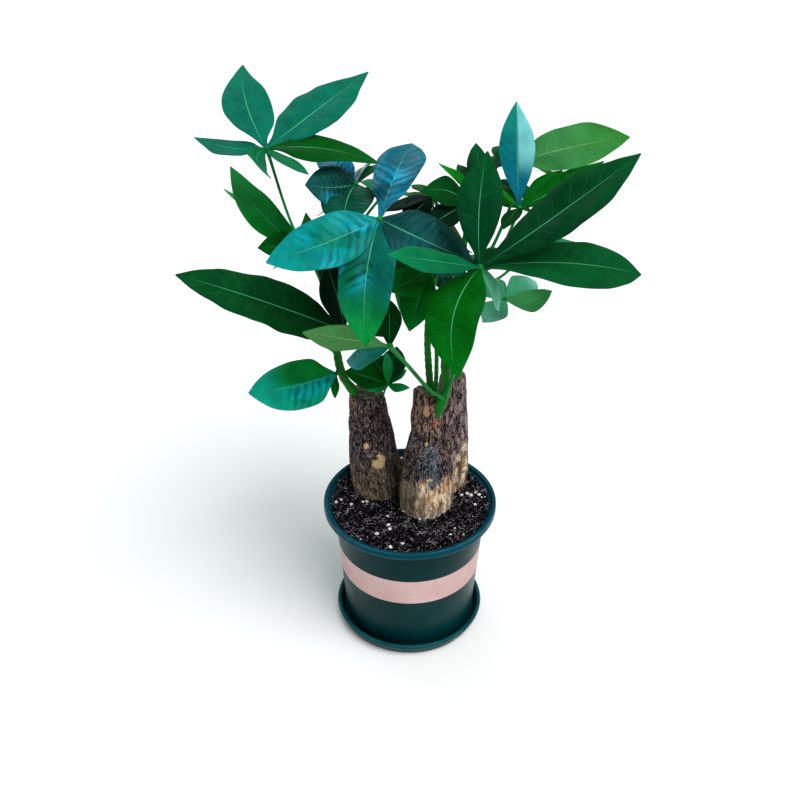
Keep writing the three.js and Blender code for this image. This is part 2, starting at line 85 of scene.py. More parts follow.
# Soil, with the spots of its large white grains and the circles that the trunks keep clear
SOIL_TOP = 122.9
SOIL_DISH = 6.0
SOIL_LUMP = 0.9
SOIL_EDGE = 70.0
SOIL_VOXEL = 1.15
SOIL_BURIED = 112.0
BURIED_SHARE = 0.5
WHITE_GRAINS = 70
GRAIN_SIZES = [(0.4, 2.3), (0.4, 1.9), (0.3, 1.5)]
CRUMBS = 620
CRUMB_SIZES = [(0.5, 2.0), (0.5, 1.7), (0.4, 1.4)]
FIBRES = 1700
FIBRE_SIZES = [(0.07, 0.16), (0.07, 0.16), (0.7, 2.8)]
PERLITE = [
    (58, 13), (61, 9), (54, 9), (63, 5), (57, -3), (51, 14),
    (-64, -5), (-51, -4), (-38, 3), (34, -44), (38, -35),
]
PERLITE_SIZES = [(1.0, 2.1), (0.9, 1.9), (0.8, 1.4)]
TRUNK_FEET = [((-30.5, 27.2), 21.0), ((13.7, 2.6), 20.5), ((34.8, 31.3), 16.0)]

# Material slots of the soil and of a leaf
CRUMB, GRAIN, THREAD = 0, 1, 2
PLAIN_TOP, GLOSSY_TOP = 0, 2

# Leaves
BLADE_THICKNESS = 0.55
BLADE_FOLD = 0.16
BLADE_WAVE = 0.035
BLADE_CRUMPLE = 0.055
EDGE_DROOP = 0.06
TIP_SAG = 1.2
WAVES_ALONG = 9
SOCKET_DEPTH = 1.1
ROWS_ALONG = 56
ROWS_ACROSS = 14
VEIN_PAIRS = 11.0
GLOSSY_FROM = 0.55


# Small tools


def lone_selection(piece):
    bpy.ops.object.select_all(action="DESELECT")
    piece.select_set(True)
    bpy.context.view_layer.objects.active = piece


def added(operator, **settings):
    """The piece that an add operator makes."""
    bpy.ops.object.select_all(action="DESELECT")
    operator(**settings)
    return bpy.context.object


def edit(piece, *steps):
    """Run mesh operators on a piece, each as (operator, settings) with everything selected."""
    lone_selection(piece)
    bpy.ops.object.mode_set(mode="EDIT")
    for operator, settings in steps:
        bpy.ops.mesh.select_all(action="SELECT")
        operator(**settings)
    bpy.ops.object.mode_set(mode="OBJECT")


def apply_modifier(piece, kind, **settings):
    modifier = piece.modifiers.new(kind.title(), kind)
    for key, value in settings.items():
        setattr(modifier, key, value)
    lone_selection(piece)
    bpy.ops.object.modifier_apply(modifier=modifier.name)


def join(pieces, name):
    bpy.ops.object.select_all(action="DESELECT")
    for piece in pieces:
        piece.select_set(True)
    bpy.context.view_layer.objects.active = pieces[0]
    if len(pieces) > 1:
        bpy.ops.object.join()
    whole = bpy.context.view_layer.objects.active
    whole.name = name
    return whole


def placed(name, data, place=(0, 0, 0), turn=(0, 0, 0)):
    """A new object in the scene."""
    made = bpy.data.objects.new(name, data)
    made.location = place
    made.rotation_euler = turn
    bpy.context.collection.objects.link(made)
    return made


def copy_of(piece, name):
    twin = piece.copy()
    twin.data = piece.data.copy()
    twin.name = name
    bpy.context.collection.objects.link(twin)
    return twin


def grid(columns, rows):
    """A flat sheet from -1 to 1 with its UV map."""
    return added(bpy.ops.mesh.primitive_grid_add, x_subdivisions=columns, y_subdivisions=rows, size=2)


def coat(piece, *finishes):
    for finish in finishes:
        piece.data.materials.append(finish)


def set_places(piece, places):
    piece.data.vertices.foreach_set("co", [value for place in places for value in place])
    piece.data.update()


def set_tints(piece, name, tints):
    layer = piece.data.color_attributes.new(name, "FLOAT_COLOR", "POINT")
    layer.data.foreach_set("color", [value for tint in tints for value in tint])


def merge_close(piece, distance=0.02):
    edit(piece, (bpy.ops.mesh.remove_doubles, {"threshold": distance * MM}),
         (bpy.ops.mesh.normals_make_consistent, {"inside": False}))


def smooth(piece, angle=60):
    lone_selection(piece)
    bpy.ops.object.shade_smooth_by_angle(angle=math.radians(angle))


def stands_for(piece, node):
    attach(piece, "root")
    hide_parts(node)


def mix(a, b, share):
    return tuple(x + (y - x) * share for x, y in zip(a, b))


def clamp(value):
    return max(0.0, min(1.0, value))


def ease(value, low, high):
    share = clamp((value - low) / (high - low))
    return share * share * (3 - 2 * share)


def paint(red, green, blue):
    """A colour as seen on screen, 0 to 255, as linear light."""
    shares = (red / 255, green / 255, blue / 255)
    return tuple(((c + 0.055) / 1.055) ** 2.4 if c > 0.04 else c / 12.92 for c in shares)


def between(stations, at):
    """Smooth value at a place along a list of (place, value)."""
    last = len(stations) - 1
    i = 0
    while i < last - 1 and stations[i + 1][0] < at:
        i += 1
    (x1, y1), (x2, y2) = stations[i], stations[i + 1]
    x0, y0 = stations[i - 1] if i > 0 else (2 * x1 - x2, 2 * y1 - y2)
    x3, y3 = stations[i + 2] if i + 2 <= last else (2 * x2 - x1, 2 * y2 - y1)
    slope1 = (y2 - y0) / (x2 - x0)
    slope2 = (y3 - y1) / (x3 - x1)
    width = x2 - x1
    t = clamp((at - x1) / width)
    return (
        (2 * t**3 - 3 * t**2 + 1) * y1 + (t**3 - 2 * t**2 + t) * width * slope1
        + (3 * t**2 - 2 * t**3) * y2 + (t**3 - t**2) * width * slope2
    )


# Materials


class Signal:
    """A shader value that adds, subtracts and multiplies as a number does."""

    def __init__(self, finish, socket):
        self.finish = finish
        self.socket = socket

    def __add__(self, other):
        return self.finish.maths("ADD", self, other)

    def __sub__(self, other):
        return self.finish.maths("SUBTRACT", self, other)

    def __rsub__(self, other):
        return self.finish.maths("SUBTRACT", other, self)

    def __mul__(self, other):
        return self.finish.maths("MULTIPLY", self, other)


class Finish:
    """A material under construction: nodes are added by kind and wired by socket name."""

    def __init__(self, name, colour, roughness):
        self.material = bpy.data.materials.new(name)
        self.material.use_nodes = True
        self.tree = self.material.node_tree
        self.shader = self.tree.nodes["Principled BSDF"]
        self.set(Base_Color=colour, Roughness=roughness)
        self.material.diffuse_color = (*colour, 1)

    def add(self, kind, settings=None, **inputs):
        made = self.tree.nodes.new("ShaderNode" + kind)
        for key, value in (settings or {}).items():
            setattr(made, key, value)
        for key, value in inputs.items():
            self.feed(made, key.replace("_", " "), value)
        return made

    def read(self, node, output=0):
        return Signal(self, node.outputs[output])

    def feed(self, target, socket, value):
        port = target.inputs[socket]
        if isinstance(value, Signal):
            self.tree.links.new(value.socket, port)
        elif port.type == "RGBA" and len(value) == 3:
            port.default_value = (*value, 1)
        else:
            port.default_value = value

    def fill(self, node, *values):
        for socket, value in enumerate(values):
            self.feed(node, socket, value)
        return node

    def maths(self, operation, *values):
        return self.read(self.fill(self.add("Math", {"operation": operation}), *values))

    def vector_maths(self, operation, *values):
        return self.fill(self.add("VectorMath", {"operation": operation}), *values)

    def ramp(self, value, low, high, to_low=0.0, to_high=1.0):
        made = self.add("MapRange", {"interpolation_type": "SMOOTHSTEP"})
        return self.read(self.fill(made, value, low, high, to_low, to_high))

    def blend(self, share, first, second, mode="MIX"):
        made = self.add("Mix", {"data_type": "RGBA", "blend_type": mode})
        for socket, value in ((0, share), (6, first), (7, second)):
            self.feed(made, socket, value)
        return self.read(made, 2)

    def times(self, first, second):
        return self.blend(1.0, first, second, "MULTIPLY")

    def grain(self, place, scale, detail=3, roughness=0.55):
        made = self.add("TexNoise", Vector=place, Scale=scale, Detail=detail, Roughness=roughness)
        return self.read(made)

    def stretched(self, stretch=(1, 1, 1)):
        """Object coordinates: a share under 1 draws the pattern out along that axis."""
        place = self.read(self.add("TexCoord"), "Object")
        return self.read(self.add("Mapping", Vector=place, Scale=stretch))

    def relief(self, height, distance, strength=1.0):
        bump = self.add("Bump", Height=height, Strength=strength, Distance=distance * MM)
        self.set(Normal=self.read(bump))

    def set(self, **inputs):
        for key, value in inputs.items():
            self.feed(self.shader, key.replace("_", " "), value)
        return self.material


def plastic_finish(name, colour, light, rim, band=False):
    """Moulded plastic: from a level up the rim has its own colour, with pale lines on its edges that are
    partly painted highlight and partly wear, patchy by noise.
    """
    rim_level, rim_colour, glint_levels, glint_colour = rim
    finish = Finish(name, colour, 0.3)
    place = finish.stretched()
    cloud = finish.grain(place, 14, 2)
    shade = finish.blend(finish.ramp(cloud, 0.35, 0.7), colour, light)
    peel = finish.grain(place, 900, 2)
    gloss = finish.ramp(finish.grain(place, 40), 0.3, 0.7, 0.26, 0.4)
    height = peel * 0.05
    level = finish.read(finish.add("SeparateXYZ", Vector=place), "Z")
    shade = finish.blend(finish.ramp(level, rim_level * MM, (rim_level + 1.5) * MM), shade, rim_colour)
    # Pale lines along the rim's edges: painted highlight, made patchy like wear
    worn = finish.ramp(finish.grain(place, 60), 0.35, 0.65, 0.25, 0.9)
    for glint_level in glint_levels:
        near = finish.maths("ABSOLUTE", level - glint_level * MM)
        shade = finish.blend(finish.ramp(near, 0.1 * MM, 0.5 * MM, 1.0, 0.0) * worn, shade, glint_colour)
    if band:
        edge = level + (peel - 0.5) * (BAND_WOBBLE * MM)
        lower = finish.ramp(edge, (BAND_LOW - BAND_SOFT) * MM, (BAND_LOW + BAND_SOFT) * MM)
        upper = finish.ramp(edge, (BAND_HIGH - BAND_SOFT) * MM, (BAND_HIGH + BAND_SOFT) * MM, 1.0, 0.0)
        away = finish.vector_maths("LENGTH", finish.stretched((1, 1, 0)))
        outside = finish.maths("GREATER_THAN", finish.read(away, "Value"), BAND_OUTSIDE * MM)
        printed = lower * upper * outside
        ink = finish.blend(finish.ramp(finish.grain(place, 22, 4), 0.3, 0.75),
                           paint(200, 164, 160), paint(214, 182, 180))
        specks = finish.ramp(finish.grain(place, 420, 2), 0.72, 0.78)
        ink = finish.blend(specks, ink, paint(180, 128, 114))
        shade = finish.blend(printed, shade, ink)
        gloss = gloss + printed * 0.18
        height = height + printed * 0.25
    finish.relief(height, 0.12)
    return finish.set(Base_Color=shade, Roughness=gloss, Specular_IOR_Level=0.08,
                      Specular_Tint=(0.2, 0.9, 0.9))


def soil_finish():
    finish = Finish("potting_soil", (0.01, 0.008, 0.008), 0.95)
    place = finish.stretched()
    crumbs = finish.add("TexVoronoi", Vector=place, Scale=420.0)
    fine = finish.grain(place, 1500)
    slanted = finish.read(finish.add("Mapping", Vector=place, Rotation=(0.4, 0.7, 0.5), Scale=(1, 0.2, 1)))
    threads = finish.grain(slanted, 1700, 2)
    patch = finish.grain(place, 120, 4)
    shade = finish.blend(finish.ramp(patch, 0.35, 0.7), paint(2, 1, 3), paint(8, 6, 9))
    shade = finish.blend(finish.ramp(finish.read(crumbs, "Color"), 0.7, 0.95), shade, paint(28, 23, 30))
    shade = finish.blend(finish.ramp(fine, 0.67, 0.71), shade, paint(150, 144, 156))
    shade = finish.blend(finish.ramp(threads, 0.65, 0.69), shade, paint(160, 152, 162))
    finish.relief(finish.read(crumbs, "Distance") * 0.8 + fine, 0.9, 0.9)
    roughness = finish.ramp(fine, 0.3, 0.7, 0.75, 0.98)
    return finish.set(Base_Color=shade, Roughness=roughness, Specular_IOR_Level=0.02)


def grain_finish(name, dark, pale, scale, roughness):
    finish = Finish(name, pale, roughness)
    cloud = finish.grain(finish.stretched(), scale, 4)
    finish.relief(cloud, 0.3)
    return finish.set(Base_Color=finish.blend(finish.ramp(cloud, 0.3, 0.7), dark, pale))


def bark_finish():
    """Bark: bark_tint holds the colour of each spot and, as its alpha, how far the bark is gone."""
    finish = Finish("bark", (0.1, 0.07, 0.05), 0.8)
    tint = finish.add("Attribute", {"attribute_name": "bark_tint"})
    colour, peeled = finish.read(tint, "Color"), finish.read(tint, "Alpha")
    wander = finish.add("TexNoise", Vector=finish.stretched(), Scale=210.0, Detail=2.0)
    bent = finish.add("VectorMath", {"operation": "SCALE"}, Vector=finish.read(wander, "Color"),
                      Scale=0.003)
    place = finish.read(finish.add("TexCoord"), "Object")
    along = finish.read(finish.vector_maths("ADD", place, finish.read(bent)))
    strips = finish.read(finish.add("Mapping", Vector=along, Scale=(1, 1, 0.22)))
    fibre = finish.grain(strips, 1000, 4, 0.7)
    plate = finish.grain(strips, 300, 3, 0.6)
    speck = finish.grain(finish.stretched((1, 1, 0.3)), 1500, 2, 0.6)
    dark = finish.times(colour, paint(96, 84, 84))
    pale = finish.times(colour, (2.1, 2.0, 1.95))
    dark = finish.blend(peeled * 0.6, dark, colour)
    shade = finish.blend(finish.ramp(plate, 0.39, 0.62), dark, pale)
    crack = finish.ramp(fibre, 0.43, 0.5, 1.0, 0.0)
    depth = finish.ramp(peeled, 0.55, 1.0, 0.9, 0.55)
    shade = finish.blend(crack * depth, shade, paint(8, 5, 6))
    flake = finish.ramp(fibre, 0.52, 0.58) * finish.ramp(speck, 0.44, 0.54)
    shade = finish.blend(flake * 0.7, shade, paint(180, 170, 168))
    shade = finish.blend(finish.ramp(peeled, 1.1, 1.5, 0.0, 0.8), shade, colour)
    finish.relief(fibre + plate * 0.8 + speck * 0.35, 1.6)
    roughness = finish.ramp(plate, 0.3, 0.7, 0.65, 0.92)
    return finish.set(Base_Color=shade, Roughness=roughness, Specular_IOR_Level=0.05)


def stem_finish(name, young, old):
    finish = Finish(name, young, 0.4)
    lengthwise = finish.grain(finish.stretched((1, 1, 0.12)), 620, 4)
    cloud = finish.grain(finish.stretched((1, 1, 0.5)), 70)
    shade = finish.blend(finish.ramp(cloud, 0.35, 0.7), young, old)
    shade = finish.blend(finish.ramp(lengthwise, 0.6, 0.75, 0.0, 0.4), shade, paint(40, 130, 40))
    finish.relief(lengthwise, 0.25, 0.6)
    roughness = finish.ramp(lengthwise, 0.3, 0.7, 0.34, 0.54)
    return finish.set(Base_Color=shade, Roughness=roughness, Specular_IOR_Level=0.12)


def leaf_finish(name, underside=False, sheen=0.05):
    """Leaf skin: the UV map runs across and along a leaflet, and leaf_tint holds its green and gloss. On
    the top the gloss also sets the painted highlights and painted shade in the furrows.
    """
    finish = Finish(name, (0.02, 0.2, 0.08), 0.35)
    unwrapped = finish.read(finish.add("UVMap", {"uv_map": "UVMap"}))
    spot = finish.add("SeparateXYZ", Vector=unwrapped)
    tint = finish.add("Attribute", {"attribute_name": "leaf_tint"})
    green, gloss = finish.read(tint, "Color"), finish.read(tint, "Alpha")
    place = finish.stretched()
    across = (finish.read(spot, "X") - 0.5) * 2.0
    side = finish.maths("ABSOLUTE", across)
    half = finish.maths("SIGN", across)
    along = finish.read(spot, "Y")
    drift = (finish.grain(place, 45, 2) - 0.5) * 0.13
    sweep = side * (side * 0.06 + 0.06)
    march = (along - sweep) + (drift + half * 0.012)
    ribs = finish.maths("PINGPONG", march * VEIN_PAIRS, 0.5)
    lateral = finish.ramp(ribs, 0.01, 0.06, 1.0, 0.0) * finish.ramp(side, 0.55, 1.0, 1.0, 0.15)
    narrow = finish.ramp(along, 0.0, 1.0, 0.036, 0.012)
    midrib = finish.ramp(finish.maths("DIVIDE", side, narrow), 0.35, 1.1, 1.0, 0.0)
    web = finish.add("CombineXYZ", X=march * VEIN_PAIRS, Y=side * 1.8, Z=half * 3.0)
    pucker = finish.grain(finish.read(web), 1.1)
    net = finish.add("TexVoronoi", {"feature": "DISTANCE_TO_EDGE"}, Vector=place, Scale=480.0)
    netting = finish.ramp(finish.read(net, "Distance"), 0.0, 0.12, 1.0, 0.0)
    mottle = finish.grain(place, 75, 4)
    if underside:
        flesh = finish.blend(0.15, green, paint(90, 160, 80))
        shade = finish.blend(finish.ramp(mottle, 0.3, 0.75, 0.0, 0.25), flesh, paint(40, 120, 40))
        shade = finish.blend(lateral * 0.45, shade, paint(130, 190, 120))
        shade = finish.blend(netting * 0.1, shade, paint(120, 180, 110))
        shade = finish.blend(midrib, shade, paint(150, 205, 130))
        finish.relief(lateral * 0.8 + midrib + netting * 0.2, 0.5, 0.8)
        return finish.set(Base_Color=shade, Roughness=0.6, Specular_IOR_Level=0.12)
    deep = finish.times(green, (0.7, 0.72, 0.76))
    shade = finish.blend(finish.ramp(mottle, 0.3, 0.7), deep, green)
    pale = finish.blend(0.3, green, paint(90, 190, 120))
    shade = finish.blend(lateral * 0.12, shade, pale)
    shade = finish.blend(netting * 0.05, shade, pale)
    shade = finish.blend(midrib * 0.75, shade, paint(84, 190, 136))
    # Glossy leaves: painted shade darkens the furrows along the veins, and painted blue-green highlights
    # make the swollen ribs between them look wet, in soft patches
    highlight_patch = finish.ramp(gloss, 0.6, 1.15) * finish.ramp(finish.grain(place, 34, 1), 0.4, 0.56)
    furrow = finish.ramp(ribs + pucker * 1.2, 0.6, 1.0)
    painted_furrow_shade = (1.0 - furrow) * finish.ramp(gloss, 0.76, 1.0)
    furrow_shade_colour = finish.times(shade, (0.1, 0.35, 0.35))
    shade = finish.blend(painted_furrow_shade * 0.85, shade, furrow_shade_colour)
    painted_highlight = finish.blend(1.0, shade, paint(6, 128, 162), "ADD")
    shade = finish.blend((furrow * 0.65 + 0.35) * highlight_patch, shade, painted_highlight)
    quilt = finish.maths("SINE", ribs * math.pi)
    folds = quilt * 0.5 + pucker * (gloss * 2.2 + 0.4)
    finish.relief(folds - (lateral * 0.25 + midrib * 0.6), 0.5, 0.75)
    roughness = finish.ramp(mottle, 0.3, 0.7, 0.02, 0.1) + 0.52 - gloss * 0.3
    return finish.set(Base_Color=shade, Roughness=roughness, Specular_IOR_Level=sheen,
                      Specular_Tint=(0.2, 0.85, 1.0))


# Rims as level, colour, levels of the edges, and colour of the pale edge lines, a painted highlight that
# also stands for wear
POT_RIM = (118.6, paint(3, 58, 72), (120.4, 125.5), paint(40, 112, 128))
SAUCER_RIM = (9.0, paint(6, 60, 66), (9.6, 11.7), paint(26, 92, 96))
POT_PLASTIC = plastic_finish("pot_plastic", paint(0, 37, 39), paint(1, 48, 50), POT_RIM, band=True)
SAUCER_PLASTIC = plastic_finish("saucer_plastic", paint(4, 50, 56), paint(8, 60, 66), SAUCER_RIM)
SOIL = soil_finish()
WHITE_GRAIN = grain_finish("white_grain", paint(178, 172, 170), paint(250, 248, 246), 900, 0.8)
FIBRE = grain_finish("soil_fibre", paint(84, 78, 90), paint(226, 218, 226), 500, 0.85)
BARK = bark_finish()
SHOOT_SKIN = stem_finish("shoot_skin", paint(2, 108, 14), paint(1, 76, 10))
STALK_SKIN = stem_finish("stalk_skin", paint(8, 128, 50), paint(3, 92, 34))
LEAF_TOP = leaf_finish("leaf_top")
LEAF_GLOSSY = leaf_finish("glossy_leaf_top", sheen=0.18)
LEAF_UNDERSIDE = leaf_finish("leaf_underside", underside=True)


# Pot and saucer: a filled circle, raised ring by ring


def turned(name, rings, finish, node):
    radius, height = rings[0]
    piece = added(bpy.ops.mesh.primitive_circle_add, vertices=POT_SIDES, radius=radius * MM,
                  fill_type="NGON", location=(0, 0, height * MM))
    piece.name = name
    bpy.ops.object.transform_apply()
    bpy.ops.object.mode_set(mode="EDIT")
    bpy.ops.mesh.select_all(action="SELECT")
    for (radius, height), (wider, higher) in zip(rings, rings[1:]):
        rise = (0, 0, (higher - height) * MM)
        bpy.ops.mesh.extrude_region_move(TRANSFORM_OT_translate={"value": rise})
        bpy.ops.transform.resize(value=(wider / radius, wider / radius, 1), center_override=(0, 0, 0))
    bpy.ops.mesh.select_all(action="SELECT")
    bpy.ops.mesh.normals_make_consistent(inside=False)
    bpy.ops.object.mode_set(mode="OBJECT")
    apply_modifier(piece, "BEVEL", width=POT_CORNER * MM, segments=2, limit_method="ANGLE",
                   angle_limit=math.radians(18))
    smooth(piece, angle=40)
    coat(piece, finish)
    stands_for(piece, node)


turned("pot_shell", POT_RINGS, POT_PLASTIC, "pot")
turned("saucer_dish", SAUCER_RINGS, SAUCER_PLASTIC, "saucer")


# Soil: the CAD's solid, remeshed fine and crumbled, with grains, crumbs and fibres lying on it


def soil_height(x, y):
    share = math.hypot(x, y) / SOIL_EDGE
    lumps = math.sin(x * 0.43 + 1) * math.cos(y * 0.37) + math.sin(x * 0.17 - y * 0.29)
    return SOIL_TOP - SOIL_DISH * (1 - share**2) + SOIL_LUMP * lumps


def crumble(x, y):
    cells, _ = noise.voronoi((x / 3.4, y / 3.4, 0.0))
    fine, _ = noise.voronoi((x / 1.7 + 9, y / 1.7, 3.0))
    swell = noise.noise((x / 11, y / 11, 5.0))
    return 1.5 * (0.55 - cells[0]) + 0.7 * (0.5 - fine[0]) + 1.1 * swell


def make_soil():
    ground = copy_of(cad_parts["soil"], "soil_bed")
    merge_close(ground)
    apply_modifier(ground, "REMESH", mode="VOXEL", voxel_size=SOIL_VOXEL * MM, adaptivity=0.0)
    buried = ground.vertex_groups.new(name="buried")
    hidden = [vertex.index for vertex in ground.data.vertices if vertex.co.z < SOIL_BURIED * MM]
    buried.add(hidden, 1.0, "REPLACE")
    apply_modifier(ground, "DECIMATE", ratio=BURIED_SHARE, vertex_group="buried")
    ground.vertex_groups.clear()
    places = []
    for vertex in ground.data.vertices:
        place = vertex.co.copy()
        x, y, z = (value / MM for value in place)
        if z > soil_height(x, y) - 2:
            place.z += crumble(x, y) * ease(SOIL_EDGE - math.hypot(x, y), -1.5, 2.5) * MM
        places.append(place)
    set_places(ground, places)
    dress_soil(ground, CRUMB, True)
    return ground


def dress_soil(piece, slot_number, smooth_faces):
    piece.data.materials.clear()
    coat(piece, SOIL, WHITE_GRAIN, FIBRE)
    for face in piece.data.polygons:
        face.material_index = slot_number
        face.use_smooth = smooth_faces


def lump(seed):
    piece = added(bpy.ops.mesh.primitive_ico_sphere_add, subdivisions=1, radius=1)
    settings = {"number_cuts": 1, "smoothness": 0.6, "fractal": 0.9, "seed": seed}
    edit(piece, (bpy.ops.mesh.subdivide, settings))
    return piece


def twig():
    piece = added(bpy.ops.mesh.primitive_cylinder_add, vertices=4, radius=1, depth=2)
    edit(piece, *((bpy.ops.mesh.bisect, {"plane_co": (0, 0, level), "plane_no": (0, 0, 1)})
                  for level in (-0.35, 0.35)))
    return piece


def scattered(seeded):
    """A spot on the soil clear of the trunks and the pot."""
    while True:
        angle = seeded.uniform(0, 2 * math.pi)
        reach = (SOIL_EDGE - 2) * math.sqrt(seeded.random())
        x, y = reach * math.cos(angle), reach * math.sin(angle)
        if all(math.hypot(x - cx, y - cy) > radius for (cx, cy), radius in TRUNK_FEET):
            return x, y


def strew(model, count, slot_number, sizes, skew, lift, seeded, spots=()):
    """Copies of a model on the soil, at the spots or else at random. Threads lie down, the rest stands.

    Sizes are the least and most half width, depth and height. A higher skew makes large copies rarer, and
    lift is the share of its least size by which a copy's middle sits above the ground.
    """
    made = []
    lying = math.pi / 2 if slot_number == THREAD else 0
    for i in range(count):
        piece = copy_of(model, f"strewn_{slot_number}_{i}")
        x, y = spots[i] if spots else scattered(seeded)
        share = seeded.random() ** skew
        size = Vector(low + (high - low) * share * seeded.uniform(0.8, 1.0) for low, high in sizes)
        turn = Matrix.Rotation(seeded.uniform(0, 6.28), 4, "Z")
        turn = turn @ Matrix.Rotation(seeded.uniform(-0.35, 0.35) + lying, 4, "X")
        height = soil_height(x, y) + crumble(x, y) + min(size) * lift
        bow = seeded.uniform(-0.35, 0.35)
        places = []
        for vertex in piece.data.vertices:
            x0, y0, z0 = vertex.co
            shaped = Vector((x0 * size.x + bow * size.z * z0 * z0, y0 * size.y, z0 * size.z))
            place = turn @ shaped + Vector((x, y, height))
            places.append(place * MM)
        set_places(piece, places)
        dress_soil(piece, slot_number, slot_number == THREAD)
        made.append(piece)
    bpy.data.objects.remove(model)
    return made


def make_soil_bed():
    seeded = random.Random(11)
    parts = [make_soil()]
    parts += strew(lump(0), CRUMBS, CRUMB, CRUMB_SIZES, 1, 0.1, seeded)
    parts += strew(lump(1), WHITE_GRAINS, GRAIN, GRAIN_SIZES, 3, 0.4, seeded)
    parts += strew(twig(), FIBRES, THREAD, FIBRE_SIZES, 2, 1.0, seeded)
    parts += strew(lump(3), len(PERLITE), GRAIN, PERLITE_SIZES, 1, 0.4, seeded, PERLITE)
    return join(parts, "soil_bed")


stands_for(make_soil_bed(), "soil")


# Trunks: a fine grid wrapped round each CAD profile, with fissured relief and its own colours

TRUNK_ROWS = 190
TRUNK_COLUMNS = 120
TRUNK_BOTTOM = 66.0
STRIP_ROWS = 10
STRIP_COLUMNS = 4
STRIP_THICKNESS = 0.5
SCAR_RADIUS = 18
TRUNKS = {
    "trunk_left": {
        "foot": (-26, 26), "head": (-37.5, 29), "lean": (-0.12, 0), "twist": 0.4,
        "profile": [(0, 0), (12, 3), (18, 16), (21.4, 40), (22, 56), (21.7, 79), (20.1, 100), (17.8, 121),
                    (16, 137), (15, 146), (12, 150), (0, 151)],
    },
    "trunk_front": {
        "foot": (13.5, 3), "head": (14, 2), "lean": (-0.38, -0.1), "twist": 1.7,
        "profile": [(0, 0), (12, 3), (18, 16), (22, 46), (23, 65), (21.5, 87), (18, 108), (14, 126),
                    (12.6, 146), (11, 163), (9.4, 166), (0, 165)],
    },
    "trunk_back": {
        "foot": (34.5, 30.5), "head": (35.5, 33), "lean": (0.05, 0.05), "twist": 3.1,
        "profile": [(0, 0), (9, 3), (13, 16), (15.6, 46), (16.2, 70), (16, 93), (15, 114), (13.4, 135),
                    (11.4, 158), (9.6, 164), (0, 163.5)],
    },
}

BARK_BROWN = paint(98, 80, 74)
BARK_DARK = paint(42, 33, 35)
BARK_GREY = paint(96, 98, 112)
BARK_RED = paint(94, 68, 62)
BARK_PALE = paint(156, 136, 136)
BARK_OLIVE = paint(122, 108, 86)
BARK_TAN = paint(126, 98, 72)
SLATE = paint(66, 74, 88)
PEELED = paint(216, 198, 168)
SCAR_WOOD = paint(206, 176, 130)
PEELED_ORANGE = paint(180, 136, 98)
CALLUS = paint(120, 90, 70)
RUST = paint(146, 96, 66)
CUT_WOOD = paint(96, 98, 84)

# Scars as direction round the trunk in degrees, height above its foot, half width, half height, colour,
# how ragged the edge is, and how far the bark is gone: above 1 the wood is bare and smooth
SCARS = {
    "trunk_left": [
        (-72, 92, 4.8, 7.2, SCAR_WOOD, 0.3, 1.6), (-80, 95.5, 1.7, 2.2, BARK_DARK, 0.3, 1.6),
        (-100, 107, 2.2, 2.4, SCAR_WOOD, 0.3, 1.6), (-90, 139, 2.0, 4.0, CALLUS, 0.8, 0.6),
        (-150, 141, 9.0, 9.0, CALLUS, 0.6, 0.6),
    ],
    "trunk_front": [
        (-95, 153, 3.6, 4.5, PEELED_ORANGE, 0.3, 1.6), (-68, 143, 6.0, 4.0, RUST, 0.5, 0.6),
        (-82, 102, 10.0, 20.0, SLATE, 0.55, 0.6), (-84, 92, 2.4, 1.0, SCAR_WOOD, 0.25, 1.6),
        (-92, 124, 1.8, 2.2, SCAR_WOOD, 0.4, 1.6),
    ],
    "trunk_back": [
        (-56, 65, 14.0, 20.0, PEELED, 0.7, 0.95), (-38, 84, 7.0, 18.0, PEELED, 0.8, 0.9),
        (-52, 60, 4.0, 8.0, PEELED_ORANGE, 0.9, 0.9),
    ],
}

# Torn strips of bark as direction and height of the foot, length, width, lean from upright, curl, colour
TORN = {
    "trunk_left": [
        (-58, 112, 6, 1.6, 10, 0.4, BARK_PALE), (-112, 84, 6, 1.6, -20, 0.4, BARK_PALE),
        (-86, 122, 7, 1.8, 24, 0.4, RUST), (-122, 58, 8, 2.0, -40, 0.35, BARK_OLIVE),
    ],
    "trunk_front": [
        (-104, 53, 10, 2.4, 48, 0.35, PEELED), (-84, 53, 9, 2.0, -40, 0.4, PEELED),
        (-66, 58, 12, 2.6, 24, 0.35, PEELED_ORANGE), (-50, 62, 11, 2.4, -20, 0.35, PEELED),
        (-118, 56, 8, 2.0, 20, 0.35, PEELED), (-76, 70, 9, 2.2, 70, 0.3, PEELED),
        (-58, 76, 10, 2.2, -10, 0.35, PEELED_ORANGE), (-94, 64, 8, 2.0, 90, 0.3, PEELED),
        (-44, 84, 9, 2.4, 10, 0.35, PEELED), (-128, 66, 7, 2.0, -30, 0.3, BARK_OLIVE),
    ],
    "trunk_back": [
        (-62, 60, 27, 7.0, 14, 0.12, PEELED), (-44, 56, 24, 6.0, -10, 0.16, PEELED),
        (-72, 66, 15, 4.0, 34, 0.3, PEELED), (-52, 78, 19, 4.5, 8, 0.2, PEELED_ORANGE),
        (-34, 70, 16, 4.0, -24, 0.3, PEELED), (-56, 54, 12, 3.6, 50, 0.3, PEELED_ORANGE),
    ],
}


def lumps(x, y, z, wide, tall, shift=0.0):
    """Noise whose lumps are so wide and so tall."""
    return noise.noise((x / wide, y / wide, z / tall + shift))


def around(angle, direction):
    return abs((angle - math.radians(direction) + math.pi) % (2 * math.pi) - math.pi)


